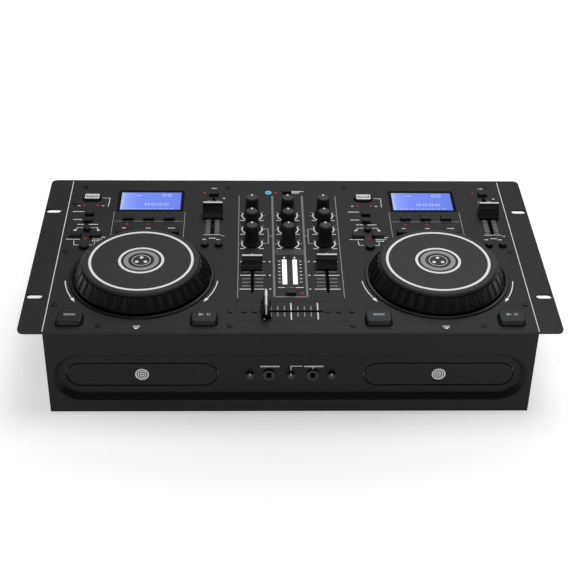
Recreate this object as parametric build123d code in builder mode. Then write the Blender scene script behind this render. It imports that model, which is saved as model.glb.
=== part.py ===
from build123d import *
import os
from math import hypot

# Two-deck disc player with a three-column mixer, in a case with 19 inch rack ears.
# Frame: X to the right, Y to the back, Z up; the origin is on the table under the panel's centre.
# Places on the panel are measured from its front edge and from its centre line.

# ---------------------------------------------------------------- case
panel_t = 2.0
panel_corner = 6.0
ear_w = 22.3             # rack ear beside the case; with the decks it makes the 19 inch width
back_margin = 20.8       # display to the panel's back edge
case_h = 91.4            # underside to the panel's top face
foot_h = 4.0
foot_r = 9.0
foot_inset_x = 24.0
foot_inset_y = 24.0
front_inset = 1.0        # front face behind the panel's edge
rear_inset = 10.0        # back wall in front of the panel's back edge
sheet_t = 1.2
front_t = 6.2
front_lip_h = 12.0

slot_edge = 8.75         # rack slot's centre from the panel's side
slot_pitch_y = 146.05
slot_mid = 127.8
slot_len = 14.5
slot_wid = 7.0

fit = 0.3                # gap round every inserted piece
slide_fit = 0.3          # gap under and beside a sliding piece
shaft_fit = 0.08         # radial gap of a running shaft

# ---------------------------------------------------------------- front face
recess_side = 5.0        # recess to the case's side
recess_h = 52.0
recess_drop = 52.0       # row of trays and sockets below the panel's top
recess_depth = 5.0
recess_slope = 45.0
door_over = 1.8          # door beyond the tray at each side
door_h = 25.0
door_t = 3.2
door_gap = 0.8
door_shift = 2.9         # door's middle inwards of the deck's
jack_x = 19.85
jack_bore_r = 3.25
jack_collar_r = 4.5
jack_nut_r = 5.4
jack_nut_t = 1.8
jack_body = 15.0
front_knob_pitch = 36.9
front_knob_r = 3.4
front_knob_len = 3.2
front_pot = 10.0
front_pot_len = 9.0
front_board_w = 92.0
front_board_t = 1.6

# ---------------------------------------------------------------- disc trays
tray_edge = 5.2          # tray beside the disc well
tray_grip = 34.0         # length still in the rails when the tray is out
tray_t = 7.0
tray_travel = 132.0
well_r = 60.8            # 120 mm disc
well_depth = 4.5
small_well_r = 40.8      # 80 mm disc
small_well_depth = 1.0
well_lip = 3.2           # disc well to the door
tray_slot_w = 38.0
tray_drop = 54.4         # middle of the tray below the panel's top
rail_t = 4.0
rail_lip = 2.2
rail_lip_t = 1.4
mech_base_t = 2.0
mech_base_gap = 9.0
mech_tail = 8.0
mech_leg_r = 4.0
mech_leg_in = 8.0
bridge_w = 30.0
bridge_t = 2.4
bridge_gap = 6.5
puck_r = 14.0
puck_t = 2.5
hub_r = 14.0
hub_t = 2.0
hub_cone_r = 7.3
hub_cone_h = 2.5
hub_above_well = 0.6
motor_r = 11.0
motor_h = 11.0
motor_shaft_r = 1.5
motor_plate_t = 1.5

# ---------------------------------------------------------------- jog wheels
jog_rim_r = 67.2
jog_rim_h = 1.4
jog_rim_w = 3.6
jog_seat = 2.2           # rim's rest on the panel
jog_front = 19.1         # rim to the panel's front edge
jog_side = 14.6          # rim to the case's side
jog_middle = 70.0        # rim to the centre line
jog_dish = 4.0
jog_dish_t = 2.0
jog_post_r = 6.0
jog_post_h = 12.5
jog_run_gap = 0.9        # skirt to the rim's ring
jog_skirt_low = 0.8
jog_band_h = 2.4         # plain band under the finger grips
jog_lean = 6.5           # shoulder inwards of the skirt's foot
jog_shoulder_h = 15.0
jog_skirt_t = 3.0
jog_plate_in = 2.0       # plate inside the shoulder
jog_plate_t = 3.2
jog_plate_seat = 14.8
jog_plate_bevel = 1.2
jog_web_t = 2.4
jog_hub_r = 10.0
flute_count = 40
flute_r = 3.4
flute_depth = 1.4

# ---------------------------------------------------------------- displays, windows
display_gap = 12.2       # display to the first row of keys
bezel_w = 2.7
bezel_d = 3.2
glass_w = 60.6
glass_d = 33.2
glass_drop = 0.5
module_t = 8.0
meter_gap = 13.8         # meter to its key
meter_w = 20.0
meter_d = 46.0
usb_x = -59.4
usb_up = 4.6             # socket behind the display's middle
usb_skirt = 1.0
usb_w = 20.2
usb_d = 13.6
usb_h = 2.6
usb_mouth_w = 12.5
usb_mouth_d = 5.1
usb_shell_t = 0.7
usb_depth = 9.0
usb_tongue_t = 1.9

# ---------------------------------------------------------------- keys
key_h = 3.6              # above the panel
key_travel = 1.2
key_flange = 1.0
key_flange_t = 0.8
key_edge = 0.5
big_key_w = 24.4
big_key_d = 18.0
big_key_h = 5.6
big_key_taper = 14.0
big_key_round = 4.5
big_key_foot = 1.0
big_key_edge = 1.2
big_key_x = 59.5
big_key_y = 17.6
arm_w = 3.0
stem_r = 1.5
cluster_x = -59.2
row_gap = 24.8           # first row to the second
row_pitch = 20.2
row_w = 10.2
row_d = 6.0
loop_gap = 6.5           # second row's middle to the jog rim
loop_pitch = 22.8
loop_w = 15.6
loop_d = 6.0
pitch_key_gap = 4.8      # key's middle to the slot's end
pitch_key_w = 9.2
pitch_key_d = 5.2
bend_gap = 15.9
bend_pitch = 13.3
bend_r = 3.7
mixer_key_w = 9.2
mixer_key_d = 4.6
link_key_up = 15.8       # behind the displays' middle
meter_key_gap = 10.9     # key's middle to the crossfader's plate
led_r = 1.4
led_proud = 0.4
link_ring_r = 3.3
link_ring_x = -18.7
switch_body = 6.0        # tact switches on the board
switch_h = 2.4

# ---------------------------------------------------------------- faders
fader_slot_w = 3.0
fader_slot_end = 6.0     # slot beyond the travel at each end
lever_t = 1.2
lever_w = 5.0
lever_drop = 9.5
pitch_x = 63.3
pitch_down = 29.5        # slot's middle in front of the display's
pitch_travel = 60.0
pitch_cap_h = 15.6
pitch_rest = 1.6
channel_x = 35.0
channel_gap = 13.3       # slot's end to the crossfader's plate
channel_travel = 45.0
channel_cap_h = 13.4
channel_left_rest = 13.5
channel_right_rest = 15.2
cap_w = 19.6
cap_d = 15.0
cap_ridge = 3.2
cap_float = 0.8          # cap above the panel
cap_foot = 1.6           # upright foot of a cap
cap_scoop = 0.42         # flank's middle, as shares of the cap's run and rise
cap_sag = 0.4
cross_front = 16.5       # crossfader's plate to the panel's front edge
cross_travel = 45.0
cross_plate_w = 98.4
cross_plate_d = 29.8
cross_flange = 3.0
cross_cap_w = 8.8
cross_cap_d = 24.5
cross_cap_h = 16.0
cross_cap_ridge = 3.4
pot_w = 9.0
pot_h = 7.0
pot_end = 6.5
pot_channel_w = 2.4

# ---------------------------------------------------------------- knobs
knob_x = 35.2
knob_gap = 25.6          # first knobs to the channel slots' ends
knob_pitch_y = 25.2
knob_h = 21.2
knob_top_r = 6.0
knob_waist_r = 6.7
knob_base_r = 8.2
knob_flare_h = 7.0
knob_float = 0.6
knob_shaft_r = 3.0
knob_hole_r = 3.6
rotary_w = 10.0
rotary_h = 8.0

# ---------------------------------------------------------------- boards and back
board_drop = 14.0        # control board's top below the panel's top
board_t = 1.6
board_side = 5.0         # board to the case's side
board_front = 24.0
board_rear = 14.4        # board to the panel's back edge
spacer_r = 3.0
spacer_in = 3.0          # spacer inwards of the rim screws
supply_w = 96.0
supply_d = 74.0
supply_board_t = 1.6
supply_rise = 6.0
supply_back = 60.4       # supply's middle to the back wall
transformer_w = 48.0
transformer_d = 40.0
transformer_h = 36.0
capacitor_r = 9.0
capacitor_h = 28.0
rca_r = 4.15
rca_len = 8.6
rca_collar_r = 5.6       # insulating collar through the wall
rca_collar_h = 1.4
rca_pin_r = 1.7
rca_pitch_x = 19.0
rca_pitch_z = 18.0
rca_x = -120.0
rca_z = 46.0
rca_cols = 4
rca_plate_t = 3.0
inlet_x = 150.0
inlet_z = 50.0
inlet_w = 27.4
inlet_h = 19.6
inlet_mouth_w = 24.6
inlet_mouth_h = 16.8
inlet_depth = 17.0
inlet_wall = 2.0
inlet_pin_w = 2.0
inlet_pin_h = 3.8
inlet_pin_pitch = 7.0
inlet_pin_lift = 2.3
rocker_w = 13.0
rocker_l = 19.0
rocker_t = 7.0
rocker_rise = 4.0
rocker_angle = 8.0
rocker_gap = 0.7
rocker_x = 33.0          # rocker beside the inlet
flange_edge = 3.5
flange_t = 1.6
vent_count = 12
vent_pitch = 7.0
vent_w = 3.0
vent_h = 26.0
vent_x = 20.0
vent_z = 62.0
screw_head_r = 2.7
screw_head_h = 1.1
screw_r = 1.4
screw_len = 6.0
screw_hole = 1.6

# ---------------------------------------------------------------- places worked out from the above
jog_y = jog_front + jog_rim_r
jog_hole_r = jog_rim_r - jog_seat
jog_gap_r = jog_rim_r - jog_rim_w
jog_skirt_r = jog_gap_r - jog_run_gap
jog_shoulder_r = jog_skirt_r - jog_lean
jog_plate_r = jog_shoulder_r - jog_plate_in
deck_pitch = 2 * (jog_rim_r + jog_middle)
case_w = deck_pitch + 2 * (jog_rim_r + jog_side)
panel_w = case_w + 2 * ear_w
slot_pitch_x = panel_w - 2 * slot_edge
display_w = glass_w + 2 * bezel_w
display_d = glass_d + 2 * bezel_d
loop_y = jog_y + jog_rim_r + loop_gap
row_y = loop_y + row_gap
display_y = row_y + row_d / 2 + display_gap + display_d / 2
panel_d = display_y + display_d / 2 + back_margin
usb_y = display_y + usb_up
pitch_y = display_y - pitch_down
pitch_key_y = pitch_y + pitch_travel / 2 + fader_slot_end + pitch_key_gap
bend_y = pitch_y - pitch_travel / 2 - fader_slot_end - bend_gap
cross_y = cross_front + cross_plate_d / 2
cross_back = cross_front + cross_plate_d
meter_key_y = cross_back + meter_key_gap
meter_y = meter_key_y + meter_gap + meter_d / 2
channel_y = cross_back + channel_gap + fader_slot_end + channel_travel / 2
knob_first_y = channel_y + channel_travel / 2 + fader_slot_end + knob_gap
link_key_y = display_y + link_key_up
tray_w = 2 * (well_r + tray_edge)
tray_l = tray_travel + tray_grip
well_mid = well_r + well_lip
door_w = tray_w + 2 * door_over
door_pitch = deck_pitch - 2 * door_shift
recess_w = case_w - 2 * recess_side
board_w = case_w - 2 * board_side
board_back = panel_d - board_rear
top_z = foot_h + case_h
under_z = top_z - panel_t
floor_z = foot_h + sheet_t
row_z = top_z - recess_drop
board_z = top_z - board_drop
recess_y = front_inset + recess_depth
door_back = recess_y + door_t
front_back = front_inset + front_t
rear_y = panel_d - rear_inset
supply_y = rear_y - supply_back
sides = (("left", -1), ("right", 1))


def fy(depth):
    return depth - panel_d / 2


def level(z):
    return Plane.XY.offset(z)


def face_plane(depth):
    # looking at the front: local x right, local y up, extrudes towards the back
    return Plane(origin=(0, fy(depth), 0), x_dir=(1, 0, 0), z_dir=(0, -1, 0))


def upright(x, y):
    # section plane through a vertical axis: local x outwards, local y up
    return Plane(origin=(x, y, 0), x_dir=(1, 0, 0), z_dir=(0, -1, 0))


def vertical(x, y):
    return Axis((x, y, 0), (0, 0, 1))


def save(solid, name):
    solid.label = name
    export_step(solid, f"parts/{name}.step")


os.makedirs("parts", exist_ok=True)

# ---------------------------------------------------------------- places shared by holes and pieces
cluster_keys = (         # x from the deck's centre, y, width, depth
    (cluster_x + 0.2, loop_y + 33.8, 8.2, 6.2),
    (cluster_x - 0.1, loop_y + 20.6, 8.6, 6.2),
    (cluster_x + 0.4, loop_y + 5.3, 7.0, 7.0),
    (cluster_x - 9.9, loop_y - 5.8, 11.2, 7.2),
    (cluster_x + 9.7, loop_y - 5.6, 11.2, 7.2),
    (cluster_x + 0.5, loop_y - 25.4, 8.8, 8.8),
)
display_keys = tuple((i * row_pitch, row_y, row_w, row_d) for i in (-1, 0, 1)) + tuple(
    (i * loop_pitch, loop_y, loop_w, loop_d) for i in (-1, 0, 1)
)
pitch_keys = ((pitch_x, pitch_key_y, pitch_key_w, pitch_key_d),) + tuple(
    (pitch_x + i * bend_pitch / 2, bend_y, 2 * bend_r, 2 * bend_r) for i in (-1, 1)
)
mixer_keys = (
    (0.4, link_key_y, mixer_key_w, mixer_key_d),
    (0.4, meter_key_y, mixer_key_w, mixer_key_d),
)
deck_leds = (
    (cluster_x - 7.1, usb_y - 14.2),
    (cluster_x + 6.5, usb_y - 14.2),
    (cluster_x, loop_y - 10.6),
    (-row_pitch - 1.0, loop_y + 15.6),
    (0.3, loop_y + 15.6),
    (pitch_x - 9.8, pitch_key_y + 4.2),
)
mixer_leds = ((10.8, meter_key_y + 1.2), (-11.7, link_key_y))
knob_rows = tuple(knob_first_y + i * knob_pitch_y for i in range(3))
knob_cols = (("left", -knob_x), ("centre", 0.0), ("right", knob_x))
rim_screw_x = case_w / 2 - 6.0
plate_side = cross_plate_w / 2
rear_screw_y = panel_d - 13.2
panel_screws = tuple(
    (side * x, y)
    for side in (-1, 1)
    for x, y in ((rim_screw_x, panel_d - 45.4), (rim_screw_x, panel_d / 2 - 1.8), (rim_screw_x, 41.7),
                 (deck_pitch / 2 + 33.8, 10.5), (plate_side + 5.4, cross_y), (plate_side + 5.4, 10.3),
                 (plate_side + 10.4, rear_screw_y), (rim_screw_x - 8.0, rear_screw_y))
)
plate_screws = tuple(
    (side * x, cross_y)
    for side in (-1, 1)
    for x in (plate_side - 6.6, cross_travel / 2 + fader_slot_end + 4.5)
)
side_screw_y = 14.0
side_screw_drops = (17.0, 67.0)
spacers = tuple(
    (side * x, y)
    for side in (-1, 1)
    for x, y in ((rim_screw_x - spacer_in, 62.0), (rim_screw_x - spacer_in, rear_y - 14.4),
                 (plate_side + 11.3, 62.0), (plate_side + 11.3, rear_y - 35.4))
)


def deck_x(side):
    return side * deck_pitch / 2


def key_outline(w, d, grow=0.0):
    if w == d:
        Circle(w / 2 + grow)
    else:
        Rectangle(w + 2 * grow, d + 2 * grow)


# ================================================================ top panel
with BuildPart() as top_panel:
    with BuildSketch(level(under_z)):
        RectangleRounded(panel_w, panel_d, panel_corner)
        with Locations((0, fy(slot_mid))):
            with GridLocations(slot_pitch_x, slot_pitch_y, 2, 2):
                SlotOverall(slot_len, slot_wid, mode=Mode.SUBTRACT)
        with Locations(*[(x, fy(y)) for x, y in panel_screws]):
            Circle(screw_hole, mode=Mode.SUBTRACT)
        for _, side in sides:
            dx = deck_x(side)
            with Locations((dx, fy(jog_y))):
                Circle(jog_hole_r, mode=Mode.SUBTRACT)
            with Locations((dx, fy(display_y))):
                Rectangle(display_w + 2 * fit, display_d + 2 * fit, mode=Mode.SUBTRACT)
            with Locations((dx + usb_x, fy(usb_y))):
                SlotOverall(usb_w - 2 * usb_skirt, usb_d - 2 * usb_skirt, mode=Mode.SUBTRACT)
            for x, y, w, d in cluster_keys + display_keys + pitch_keys:
                with BuildSketch(mode=Mode.PRIVATE) as hole:
                    key_outline(w, d, fit)
                with Locations((dx + x, fy(y))):
                    add(hole.sketch, mode=Mode.SUBTRACT)
            for i in (-1, 1):
                with Locations((dx + i * big_key_x, fy(big_key_y))):
                    RectangleRounded(big_key_w + 2 * fit, big_key_d + 2 * fit, big_key_round + fit,
                                     mode=Mode.SUBTRACT)
            with Locations(*[(dx + x, fy(y)) for x, y in deck_leds]):
                Circle(led_r + fit, mode=Mode.SUBTRACT)
            with Locations((dx + pitch_x, fy(pitch_y))):
                SlotOverall(pitch_travel + 2 * fader_slot_end, fader_slot_w, rotation=90,
                            mode=Mode.SUBTRACT)
            with Locations((side * channel_x, fy(channel_y))):
                SlotOverall(channel_travel + 2 * fader_slot_end, fader_slot_w, rotation=90,
                            mode=Mode.SUBTRACT)
        for x, y, w, d in mixer_keys:
            with Locations((x, fy(y))):
                Rectangle(w + 2 * fit, d + 2 * fit, mode=Mode.SUBTRACT)
        with Locations(*[(x, fy(y)) for x, y in mixer_leds]):
            Circle(led_r + fit, mode=Mode.SUBTRACT)
        with Locations((link_ring_x, fy(link_key_y))):
            Circle(link_ring_r + fit, mode=Mode.SUBTRACT)
        with Locations((0, fy(meter_y))):
            Rectangle(meter_w + 2 * fit, meter_d + 2 * fit, mode=Mode.SUBTRACT)
        with Locations(*[(x, fy(y)) for _, x in knob_cols for y in knob_rows]):
            Circle(knob_hole_r, mode=Mode.SUBTRACT)
        with Locations((0, fy(cross_y))):
            Rectangle(cross_plate_w + 2 * fit, cross_plate_d + 2 * fit, mode=Mode.SUBTRACT)
    extrude(amount=panel_t)
save(top_panel.part, "top_panel")

# ================================================================ front panel
with BuildPart() as front_panel:
    with BuildSketch(face_plane(front_back)):
        with Locations((0, (foot_h + under_z) / 2)):
            Rectangle(case_w, under_z - foot_h)
    extrude(amount=front_t)
    with BuildSketch(face_plane(recess_y)):
        with Locations((0, row_z)):
            SlotOverall(recess_w - 2 * recess_depth, recess_h - 2 * recess_depth)
    extrude(amount=recess_depth, taper=-recess_slope, mode=Mode.SUBTRACT)
    with BuildSketch(face_plane(front_back)):
        for _, side in sides:
            with Locations((side * door_pitch / 2, row_z)):
                SlotOverall(door_w + 2 * door_gap, door_h + 2 * door_gap)
        with Locations(*[(side * jack_x, row_z) for _, side in sides]):
            Circle(jack_collar_r + fit)
        with Locations(*[(i * front_knob_pitch, row_z) for i in (-1, 0, 1)]):
            Circle(front_knob_r + fit)
    extrude(amount=front_t, mode=Mode.SUBTRACT)
save(front_panel.part, "front_panel")

# ================================================================ bottom pan: floor, sides and back
with BuildPart() as bottom_pan:
    pan_front = front_back
    with BuildSketch(level(foot_h)):
        with Locations((0, fy((pan_front + rear_y) / 2))):
            Rectangle(case_w, rear_y - pan_front)
    extrude(amount=under_z - foot_h)
    with BuildSketch(level(floor_z)):
        with Locations((0, fy((pan_front + rear_y - sheet_t) / 2))):
            Rectangle(case_w - 2 * sheet_t, rear_y - sheet_t - pan_front)
    extrude(amount=under_z - floor_z, mode=Mode.SUBTRACT)
    # folded lip behind the front panel
    with BuildSketch(level(floor_z)):
        with Locations((0, fy(pan_front + sheet_t / 2))):
            Rectangle(case_w - 2 * sheet_t, sheet_t)
    extrude(amount=front_lip_h)
    # openings in the back wall
    with BuildSketch(face_plane(rear_y)):
        with Locations((rca_x, rca_z)):
            with GridLocations(rca_pitch_x, rca_pitch_z, rca_cols, 2):
                Circle(rca_collar_r + fit)
        with Locations((inlet_x, inlet_z)):
            Rectangle(inlet_w + 2 * fit, inlet_h + 2 * fit)
        with Locations((inlet_x + rocker_x, inlet_z)):
            Rectangle(rocker_w + 2 * inlet_wall + 2 * fit, rocker_l + 2 * inlet_wall + 2 * fit)
        with Locations((vent_x, vent_z)):
            with GridLocations(vent_pitch, 1, vent_count, 1):
                Rectangle(vent_w, vent_h)
    extrude(amount=sheet_t, mode=Mode.SUBTRACT)
    # holes for the side screws
    for _, side in sides:
        with BuildSketch(Plane.YZ.offset(side * case_w / 2)):
            with Locations(*[(fy(side_screw_y), top_z - drop) for drop in side_screw_drops]):
                Circle(screw_hole)
        extrude(amount=-side * sheet_t, mode=Mode.SUBTRACT)
save(bottom_pan.part, "bottom_pan")

# ================================================================ feet
with BuildPart() as rubber_feet:
    with BuildSketch(level(0)):
        with Locations((0, fy((front_inset + rear_y) / 2))):
            with GridLocations(case_w - 2 * foot_inset_x, rear_y - front_inset - 2 * foot_inset_y, 2, 2):
                Circle(foot_r)
    extrude(amount=foot_h)
    chamfer(rubber_feet.edges().group_by(Axis.Z)[0], foot_h / 4)
save(rubber_feet.part, "rubber_feet")

# ================================================================ screws
with BuildPart() as case_screws:
    heads = [(x, fy(y)) for x, y in panel_screws + plate_screws]
    with BuildSketch(level(top_z)):
        with Locations(*heads):
            Circle(screw_head_r)
    extrude(amount=screw_head_h)
    with BuildSketch(level(top_z)):
        with Locations(*heads):
            RegularPolygon(screw_r, 6)
    extrude(amount=-screw_len)
    for _, side in sides:
        places = [(fy(side_screw_y), top_z - drop) for drop in side_screw_drops]
        with BuildSketch(Plane.YZ.offset(side * case_w / 2)):
            with Locations(*places):
                Circle(screw_head_r)
        extrude(amount=side * screw_head_h)
        with BuildSketch(Plane.YZ.offset(side * case_w / 2)):
            with Locations(*places):
                RegularPolygon(screw_r, 6)
        extrude(amount=-side * screw_len)
save(case_screws.part, "case_screws")

# ================================================================ crossfader plate with its slide pot
with BuildPart() as crossfader_plate:
    with BuildSketch(level(under_z)):
        with Locations((0, fy(cross_y))):
            Rectangle(cross_plate_w, cross_plate_d)
    extrude(amount=panel_t)
    with BuildSketch(level(under_z - sheet_t)):
        with Locations((0, fy(cross_y))):
            Rectangle(cross_plate_w - 2 * cross_flange, cross_plate_d + 2 * cross_flange)
    extrude(amount=sheet_t)
    with BuildSketch(level(under_z - sheet_t - pot_h)):
        with Locations((0, fy(cross_y))):
            Rectangle(cross_travel + 2 * pot_end, pot_w)
    extrude(amount=pot_h)
    with BuildSketch(level(top_z)):
        with Locations((0, fy(cross_y))):
            SlotOverall(cross_travel + 2 * fader_slot_end, fader_slot_w)
        with Locations(*[(x, fy(y)) for x, y in plate_screws]):
            Circle(screw_hole)
    extrude(amount=-(panel_t + sheet_t), mode=Mode.SUBTRACT)
    with BuildSketch(level(under_z - sheet_t)):
        with Locations((0, fy(cross_y))):
            Rectangle(cross_travel + lever_w + 2, pot_channel_w)
    extrude(amount=-(pot_h - 1), mode=Mode.SUBTRACT)
save(crossfader_plate.part, "crossfader_plate")

# ================================================================ control board with pots and switches
with BuildPart() as control_board:
    with BuildSketch(level(board_z - board_t)):
        with Locations((0, fy((board_front + board_back) / 2))):
            Rectangle(board_w, board_back - board_front)
        with Locations((0, fy(cross_y))):
            Rectangle(cross_travel + 3 * pot_end, 3 * pot_w, mode=Mode.SUBTRACT)
    extrude(amount=board_t)
    # rotary pots: body and bush
    pots = [(x, fy(y)) for _, x in knob_cols for y in knob_rows]
    with BuildSketch(level(board_z)):
        with Locations(*pots):
            Rectangle(rotary_w, rotary_w)
            Circle(knob_shaft_r + shaft_fit, mode=Mode.SUBTRACT)
    extrude(amount=rotary_h)
    # slide pots under the panel, each with a channel for its lever
    slides = [(deck_x(side) + pitch_x, pitch_y, pitch_travel) for _, side in sides]
    slides += [(side * channel_x, channel_y, channel_travel) for _, side in sides]
    for x, y, travel in slides:
        with BuildSketch(level(board_z)):
            with Locations((x, fy(y))):
                Rectangle(pot_w, travel + 2 * pot_end)
        extrude(amount=pot_h)
        with BuildSketch(level(board_z + pot_h)):
            with Locations((x, fy(y))):
                Rectangle(pot_channel_w, travel + lever_w + 2)
        extrude(amount=-(pot_h - 1), mode=Mode.SUBTRACT)
    # tact switches under the keys
    taps = [(deck_x(side) + x, fy(y)) for _, side in sides
            for x, y, w, d in cluster_keys + display_keys + pitch_keys]
    taps += [(deck_x(side) + i * big_key_x, fy(board_front + switch_body)) for _, side in sides for i in (-1, 1)]
    taps += [(x, fy(y)) for x, y, w, d in mixer_keys]
    with BuildSketch(level(board_z)):
        with Locations(*taps):
            Rectangle(switch_body, switch_body)
    extrude(amount=switch_h)
    # spacers up to the panel
    with BuildSketch(level(board_z)):
        with Locations(*[(x, fy(y)) for x, y in spacers]):
            RegularPolygon(spacer_r, 6)
    extrude(amount=under_z - board_z)
save(control_board.part, "control_board")

# ================================================================ displays, level meter, USB sockets
for name, side in sides:
    with BuildPart() as display:
        with BuildSketch(level(top_z - module_t)):
            with Locations((deck_x(side), fy(display_y))):
                Rectangle(display_w, display_d)
        extrude(amount=module_t)
        with BuildSketch(level(top_z)):
            with Locations((deck_x(side), fy(display_y))):
                Rectangle(glass_w, glass_d)
        extrude(amount=-glass_drop, mode=Mode.SUBTRACT)
    save(display.part, f"display_{name}")

with BuildPart() as level_meter:
    with BuildSketch(level(top_z - module_t)):
        with Locations((0, fy(meter_y))):
            Rectangle(meter_w, meter_d)
    extrude(amount=module_t)
save(level_meter.part, "level_meter")

for name, side in sides:
    with BuildPart() as usb_port:
        usb_at = (deck_x(side) + usb_x, fy(usb_y))
        with BuildSketch(level(top_z)):
            with Locations(usb_at):
                SlotOverall(usb_w, usb_d)
        extrude(amount=usb_h, taper=20)
        fillet(usb_port.edges().group_by(Axis.Z)[-1], usb_h / 4)
        with BuildSketch(level(top_z)):
            with Locations(usb_at):
                SlotOverall(usb_w - 2 * (usb_skirt + fit), usb_d - 2 * (usb_skirt + fit))
        extrude(amount=-panel_t)
        with BuildSketch(level(under_z)):
            with Locations(usb_at):
                Rectangle(usb_mouth_w + 4 * usb_shell_t, usb_mouth_d + 4 * usb_shell_t)
        extrude(amount=-(usb_depth - panel_t))
        with BuildSketch(level(top_z + usb_h)):
            with Locations(usb_at):
                Rectangle(usb_mouth_w, usb_mouth_d)
        extrude(amount=-(usb_h + usb_depth - usb_shell_t), mode=Mode.SUBTRACT)
        with BuildSketch(level(top_z - usb_depth + usb_shell_t)):
            with Locations((usb_at[0], usb_at[1] + (usb_mouth_d - usb_tongue_t) / 2 - usb_shell_t)):
                Rectangle(usb_mouth_w - 2 * usb_shell_t, usb_tongue_t)
        extrude(amount=usb_depth)
    save(usb_port.part, f"usb_port_{name}")

# ================================================================ status lights
with BuildPart() as status_leds:
    lamps = [(deck_x(side) + x, fy(y)) for _, side in sides for x, y in deck_leds]
    lamps += [(x, fy(y)) for x, y in mixer_leds]
    with BuildSketch(level(board_z)):
        with Locations(*lamps):
            Circle(led_r)
        with Locations((link_ring_x, fy(link_key_y))):
            Circle(link_ring_r)
    extrude(amount=top_z + led_proud - board_z)
save(status_leds.part, "status_leds")

# ================================================================ jog wheels
slope_r = jog_skirt_r - jog_shoulder_r
slope_z = jog_shoulder_h - jog_skirt_low - jog_band_h
slope_len = hypot(slope_r, slope_z)
web_top = top_z + jog_plate_seat

for name, side in sides:
    jx, jy = deck_x(side), fy(jog_y)
    dish_z = top_z - jog_dish
    with BuildPart() as jog_base:
        with BuildSketch(upright(jx, jy)):
            Polygon(
                (0, dish_z - jog_dish_t), (jog_hole_r - fit, dish_z - jog_dish_t),
                (jog_hole_r - fit, top_z), (jog_rim_r, top_z), (jog_rim_r, top_z + jog_rim_h / 2),
                (jog_rim_r - jog_rim_h / 2, top_z + jog_rim_h), (jog_gap_r + jog_rim_h / 2, top_z + jog_rim_h),
                (jog_gap_r, top_z + jog_rim_h / 2), (jog_gap_r, dish_z), (jog_post_r, dish_z),
                (jog_post_r, top_z + jog_post_h), (0, top_z + jog_post_h),
                align=None,
            )
        revolve(axis=vertical(jx, jy))
    save(jog_base.part, f"jog_base_{name}")

    with BuildPart() as flute:
        # scoop that runs down the skirt and stops at the plain band
        top_r = jx + jog_shoulder_r
        lean = Vector(slope_r, 0, -slope_z).normalized()
        out = Vector(slope_z, 0, slope_r).normalized()
        start = Vector(top_r, jy, top_z + jog_shoulder_h) + out * (flute_r - flute_depth) - lean * flute_r
        with BuildSketch(Plane(origin=start, x_dir=(0, 1, 0), z_dir=lean)):
            Circle(flute_r)
        extrude(amount=slope_len + flute_r - flute_depth)
    with BuildPart() as jog_wheel:
        with BuildSketch(upright(jx, jy)):
            Polygon(
                (jog_post_r + shaft_fit, dish_z + fit), (jog_hub_r, dish_z + fit),
                (jog_hub_r, web_top - jog_web_t), (jog_shoulder_r - jog_skirt_t, web_top - jog_web_t),
                (jog_skirt_r - jog_skirt_t, top_z + jog_skirt_low + jog_band_h),
                (jog_skirt_r - jog_skirt_t, top_z + jog_skirt_low),
                (jog_skirt_r, top_z + jog_skirt_low), (jog_skirt_r, top_z + jog_skirt_low + jog_band_h),
                (jog_shoulder_r, top_z + jog_shoulder_h), (jog_shoulder_r - 0.8, web_top),
                (jog_post_r + shaft_fit, web_top),
                align=None,
            )
        revolve(axis=vertical(jx, jy))
        turn = vertical(jx, jy)
        for i in range(flute_count):
            add(flute.part.rotate(turn, i * 360 / flute_count), mode=Mode.SUBTRACT)
    save(jog_wheel.part, f"jog_wheel_{name}")

    with BuildPart() as jog_plate:
        with BuildSketch(level(web_top)):
            with Locations((jx, jy)):
                Circle(jog_plate_r)
        extrude(amount=jog_plate_t)
        chamfer(jog_plate.edges().group_by(Axis.Z)[-1], jog_plate_bevel)
    save(jog_plate.part, f"jog_plate_{name}")

# ================================================================ disc trays, doors, mechanisms
tray_z = top_z - tray_drop - tray_t / 2
tray_top = tray_z + tray_t
well_z = tray_top - well_depth
rail_in = tray_w / 2 + slide_fit
rail_out = rail_in + rail_t
base_z = tray_z - mech_base_gap
mech_front = door_back + fit
mech_len = door_back + tray_l + mech_tail - mech_front
bridge_z = tray_top + bridge_gap

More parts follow.
